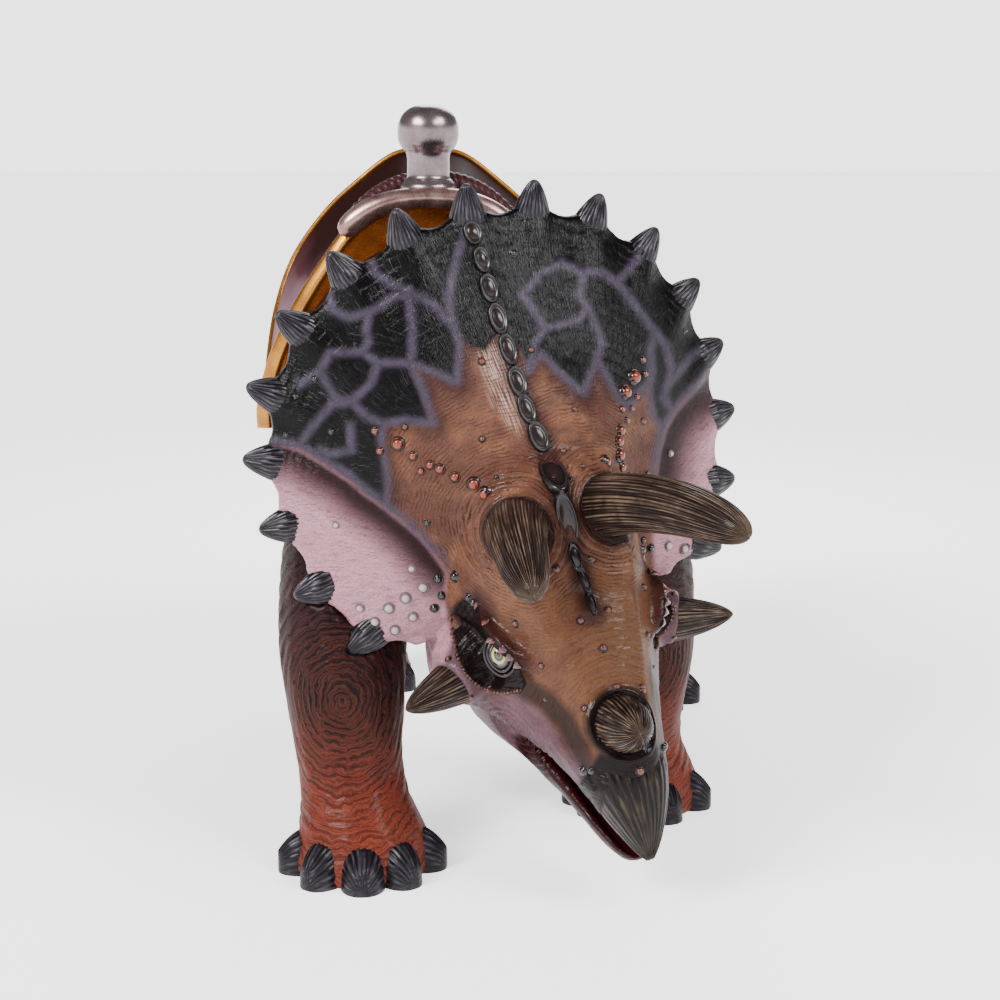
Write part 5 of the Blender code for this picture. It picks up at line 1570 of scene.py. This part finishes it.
class STATUE_OT_stage(bpy.types.Operator):
    """Sets the pale floor, soft lights and the camera"""
    bl_idname = "statue.stage"
    bl_label = "Stage"

    def execute(self, context):
        clear_selection()
        bpy.ops.mesh.primitive_plane_add(size=160.0)
        floor = bpy.context.object
        floor.name = "floor"
        # Matt white card, without reflections
        made, tree, shader = start_material("matt_white_floor", 0.9)
        # The floor glows a little, as a white backdrop that is lit by itself
        shader.inputs["Emission Color"].default_value = (1, 1, 1, 1)
        shader.inputs["Emission Strength"].default_value = 1.3
        home = add(tree, "TexCoord").node.outputs["Object"]
        cloud = add(tree, "TexNoise", {"Vector": home, "Scale": 2.0})
        skin = add(tree, "Mix", {"Factor": cloud, "A": (*linear("#fafafa"), 1.0),
                                 "B": (*linear("#fcfcfc"), 1.0)}, data_type="RGBA")
        tree.links.new(skin, shader.inputs["Base Color"])
        floor.data.materials.append(made)
        world = bpy.data.worlds.new("studio")
        context.scene.world = world
        world.use_nodes = True
        tree = world.node_tree
        # Bright walls and a dimmer ceiling, which keeps the dark paints dark
        way = add(tree, "TexCoord").node.outputs["Generated"]
        high = add(tree, "SeparateXYZ", {0: way}).node.outputs["Z"]
        power = add(tree, "MapRange", {"Value": high, "From Min": 0.085, "From Max": 0.22, "To Min": 3.1,
                                       "To Max": 0.22}, interpolation_type="SMOOTHSTEP")
        sky = tree.nodes["Background"]
        sky.inputs["Color"].default_value = (1, 1, 1, 1)
        tree.links.new(power, sky.inputs["Strength"])
        # Lamps: place, kind, width in degrees or metres, and strength
        for name, at, kind, wide, power in (
                ("key", (-2.2, -2.1, 2.6), "SUN", 22, 4.2),
                ("second", (2.3, -1.7, 2.6), "SUN", 22, 2.4),
                ("left box", (-1.2, -1.9, 2.3), "AREA", 0.55, 26),
                ("right box", (1.1, -1.9, 2.4), "AREA", 0.55, 22),
                ("rim", (0.4, 2.4, 2.6), "AREA", 1.6, 60)):
            lamp = bpy.data.lights.new(name, kind)
            lamp.energy = power
            if kind == "SUN":
                lamp.angle = math.radians(wide)
            else:
                lamp.size = wide
            holder = bpy.data.objects.new(name, lamp)
            holder.location = at
            way = Vector((0, -0.2, 0.55)) - Vector(at)
            holder.rotation_euler = way.to_track_quat("-Z", "Y").to_euler()
            context.scene.collection.objects.link(holder)
        lens = bpy.data.cameras.new("camera")
        lens.lens = LENS
        lens.sensor_width = SENSOR
        lens.clip_end = 200
        camera = bpy.data.objects.new("camera", lens)
        camera.location = CAMERA_AT
        camera.rotation_euler = camera_axes()[0].to_track_quat("-Z", "Y").to_euler()
        context.scene.collection.objects.link(camera)
        context.scene.camera = camera
        return {"FINISHED"}


def bead_paint(name, shade, rim, roughness=0.2, coat=0.5):
    """Painted, varnished resin beads, with painted shade round their feet where they meet the skin."""
    made, tree, shader = start_material(name, roughness, coat=coat, coat_roughness=0.08, shine=0.3)
    reach = add(tree, "Attribute", attribute_name="reach").node.outputs["Fac"]
    grain = add(tree, "TexNoise", {"Vector": add(tree, "TexCoord").node.outputs["Object"],
                                   "Scale": 500.0, "Detail": 2.0})
    uneven = add(tree, "MapRange", {"Value": grain, "To Min": -0.12, "To Max": 0.12})
    at = add(tree, "Math", {0: reach, 1: uneven}, operation="ADD")
    # Painted shade: the rim colour darkens each bead's foot and skirt
    skin = add(tree, "ValToRGB", {0: at}, ramp=[(0.0, rim), (0.10, rim), (0.30, shade), (1.0, shade)])
    tree.links.new(skin, shader.inputs["Base Color"])
    bump = add(tree, "Bump", {"Height": grain, "Strength": 0.2, "Distance": 0.0004})
    tree.links.new(bump, shader.inputs["Normal"])
    return made


def bead_matrices(tree, rows, tall):
    """Where beads stand on the skin; those on one cheek are set on the other one as well."""
    matrices = []
    for x, y, radius in rows:
        place, normal = on_skin(tree, x, y)
        size = radius * (place - CAMERA_AT).length * SENSOR / LENS / PICTURE
        matrix = aimed(place, normal, (0, 0, 1), (size, size, size * tall))
        matrices.append(matrix)
        local = HEAD_BACK @ place
        if local.x < -0.035 and local.y < 0.0:
            matrices.append(MIRROR @ matrix)
    return matrices


class STATUE_OT_beads(bpy.types.Operator):
    """Sets the raised beads, socket granules and brow scales on the head's skin"""
    bl_idname = "statue.beads"
    bl_label = "Beads and scales"

    def execute(self, context):
        tree = tree_of(bpy.data.objects["head_skin"])
        profile = [(1.35, -0.5), (1.30, 0.02), (1.18, 0.16), (1.04, 0.10), (0.98, 0.12), (0.92, 0.38),
                   (0.78, 0.62), (0.55, 0.80), (0.28, 0.90), (0.02, 0.93)]
        model = turned_model("bead", profile, 20)
        groups = (
            ("amber", AMBER_BEADS, bead_paint("resin_bead_amber", tone("#a04c28"), tone("#3c150c"))),
            ("rust", RUST_BEADS, bead_paint("resin_bead_rust", tone("#834c3e"), tone("#2a1512"), 0.34, 0.3)),
            ("pale", PALE_BEADS, bead_paint("resin_bead_pale", tone("#d3c0c0"), tone("#86737a"), 0.3, 0.3)),
            ("dark", DARK_BEADS, bead_paint("resin_bead_black", tone("#33262a"), tone("#140e10"))),
        )
        for name, rows, paint in groups:
            made = copies(model, "beads_" + name, bead_matrices(tree, rows, 0.95))
            face_out(made)
            finish_piece(made, paint, "skin", sharp=60)
        rim = [(x, y, 1.2 + 0.9 * (k % 3) / 2) for k, (x, y) in enumerate(spline(SOCKET_RIM, 34))]
        made = copies(model, "socket_granules", bead_matrices(tree, rim, 1.0))
        face_out(made)
        finish_piece(made, bpy.data.materials["resin_bead_rust"], "skin", sharp=60)
        cone = turned_model("scale", [(1.1, -0.6), (1.0, 0.0), (0.85, 0.35), (0.6, 0.8), (0.35, 1.25),
                                      (0.15, 1.6), (0.02, 1.72)], 16)
        matrices = []
        eye = HEAD @ Vector((-EYE_AT.x, EYE_AT.y, EYE_AT.z))
        for x, y in BROW_SCALES:
            place, normal = on_skin(tree, x, y)
            lean = (normal + 0.9 * (eye - place).normalized()).normalized()
            matrices.append(aimed(place, lean, normal.cross(lean), (0.0065, 0.0042, 0.0050)))
        made = copies(cone, "brow_scales", matrices + [MIRROR @ m for m in matrices])
        face_out(made)
        finish_piece(made, bead_paint("resin_scale_maroon", tone("#8d5048"), tone("#4a2026"), 0.3), "skin",
                     sharp=60)
        bpy.data.objects.remove(cone)
        bpy.data.objects.remove(model)
        return {"FINISHED"}


class STATUE_OT_scutes(bpy.types.Operator):
    """Models one rimmed oval scute and lays a chain of them down the head's middle"""
    bl_idname = "statue.scutes"
    bl_label = "Scutes"

    def execute(self, context):
        tree = tree_of(bpy.data.objects["head_skin"])
        profile = [(1.18, -0.9), (1.12, 0.02), (1.07, 0.34), (1.01, 0.50), (0.93, 0.50), (0.85, 0.30),
                   (0.76, 0.22), (0.58, 0.42), (0.36, 0.58), (0.15, 0.66), (0.02, 0.68)]
        model = turned_model("scute", profile, 40)
        matrices = []
        for k, (x, y, wide, tall) in enumerate(SCUTES):
            a = SCUTES[max(k - 1, 0)]
            b = SCUTES[min(k + 1, len(SCUTES) - 1)]
            way = Vector((b[0] - a[0], b[1] - a[1])).normalized()
            place, normal = on_skin(tree, x, y)
            top, top_normal = on_skin(tree, x - way.x * tall * 0.8, y - way.y * tall * 0.8)
            foot, foot_normal = on_skin(tree, x + way.x * tall * 0.8, y + way.y * tall * 0.8)
            unit = (place - CAMERA_AT).length * SENSOR / LENS / PICTURE
            # A ridge of the brow can hide the skin just above it from the camera
            if (top - place).length > 3 * tall * unit:
                top = place * 2 - foot
                top_normal = normal
            normal = (normal * 2 + top_normal + foot_normal).normalized()
            length = min((foot - top).length * 0.68, 2.2 * tall * unit)
            place = place * 0.2 + (top + foot) * 0.4 + normal * 0.0012
            side = (foot - top).cross(normal)
            matrices.append(aimed(place, normal, side, (wide * 1.08 * unit, length, 0.0058)))
        made = copies(model, "scute_chain", matrices)
        bpy.data.objects.remove(model)
        face_out(made)
        # Black painted resin, satin, with a painted highlight along the rims and painted shade in the hollow
        # inside them
        paint, nodes, shader = start_material("resin_scute_black", 0.32, coat=0.3, shine=0.2)
        reach = add(nodes, "Attribute", attribute_name="reach").node.outputs["Fac"]
        grain = add(nodes, "TexNoise", {"Vector": add(nodes, "TexCoord").node.outputs["Object"],
                                        "Scale": 260.0, "Detail": 3.0})
        uneven = add(nodes, "MapRange", {"Value": grain, "To Min": -0.06, "To Max": 0.06})
        at = add(nodes, "Math", {0: reach, 1: uneven}, operation="ADD")
        skin = add(nodes, "ValToRGB", {0: at}, ramp=[
            (0.0, tone("#1d1417")), (0.06, tone("#4a3f45")), (0.12, tone("#352b30")),
            (0.20, tone("#171012")), (0.45, tone("#30211f")), (1.0, tone("#3a2829"))])
        nodes.links.new(skin, shader.inputs["Base Color"])
        bump = add(nodes, "Bump", {"Height": grain, "Strength": 0.25, "Distance": 0.0006})
        nodes.links.new(bump, shader.inputs["Normal"])
        finish_piece(made, paint, "frill", sharp=60)
        return {"FINISHED"}


OPERATORS = (
    STATUE_OT_stage, STATUE_OT_body_skin, STATUE_OT_head_skin, STATUE_OT_horns, STATUE_OT_beak,
    STATUE_OT_spikes, STATUE_OT_hooves, STATUE_OT_eyes, STATUE_OT_beads, STATUE_OT_scutes,
    STATUE_OT_saddle_leather, STATUE_OT_saddle_metal, STATUE_OT_rope, STATUE_OT_girth,
)


class STATUE_PT_panel(bpy.types.Panel):
    """Lists the statue's pieces"""
    bl_label = "Statue"
    bl_idname = "STATUE_PT_panel"
    bl_space_type = "VIEW_3D"
    bl_region_type = "UI"
    bl_category = "Statue"

    def draw(self, context):
        for operator in OPERATORS:
            self.layout.operator(operator.bl_idname)
        for group in (context.scene.statue_sizes, context.scene.statue_colours):
            for name in group.__annotations__:
                self.layout.prop(group, name)


CLASSES = (StatueSizes, StatueColours, *OPERATORS, STATUE_PT_panel)


def register():
    for cls in CLASSES:
        bpy.utils.register_class(cls)
    bpy.types.Scene.statue_sizes = PointerProperty(type=StatueSizes)
    bpy.types.Scene.statue_colours = PointerProperty(type=StatueColours)


def unregister():
    del bpy.types.Scene.statue_colours
    del bpy.types.Scene.statue_sizes
    for cls in reversed(CLASSES):
        bpy.utils.unregister_class(cls)


def main():
    register()
    bpy.ops.statue.stage()
    bpy.ops.statue.body_skin()
    bpy.ops.statue.head_skin()
    bpy.ops.statue.horns()
    bpy.ops.statue.beak()
    bpy.ops.statue.spikes()
    bpy.ops.statue.hooves()
    bpy.ops.statue.eyes()
    bpy.ops.statue.beads()
    bpy.ops.statue.scutes()
    bpy.ops.statue.saddle_leather()
    bpy.ops.statue.saddle_metal()
    bpy.ops.statue.rope()
    bpy.ops.statue.girth()


if __name__ == "__main__":
    main()
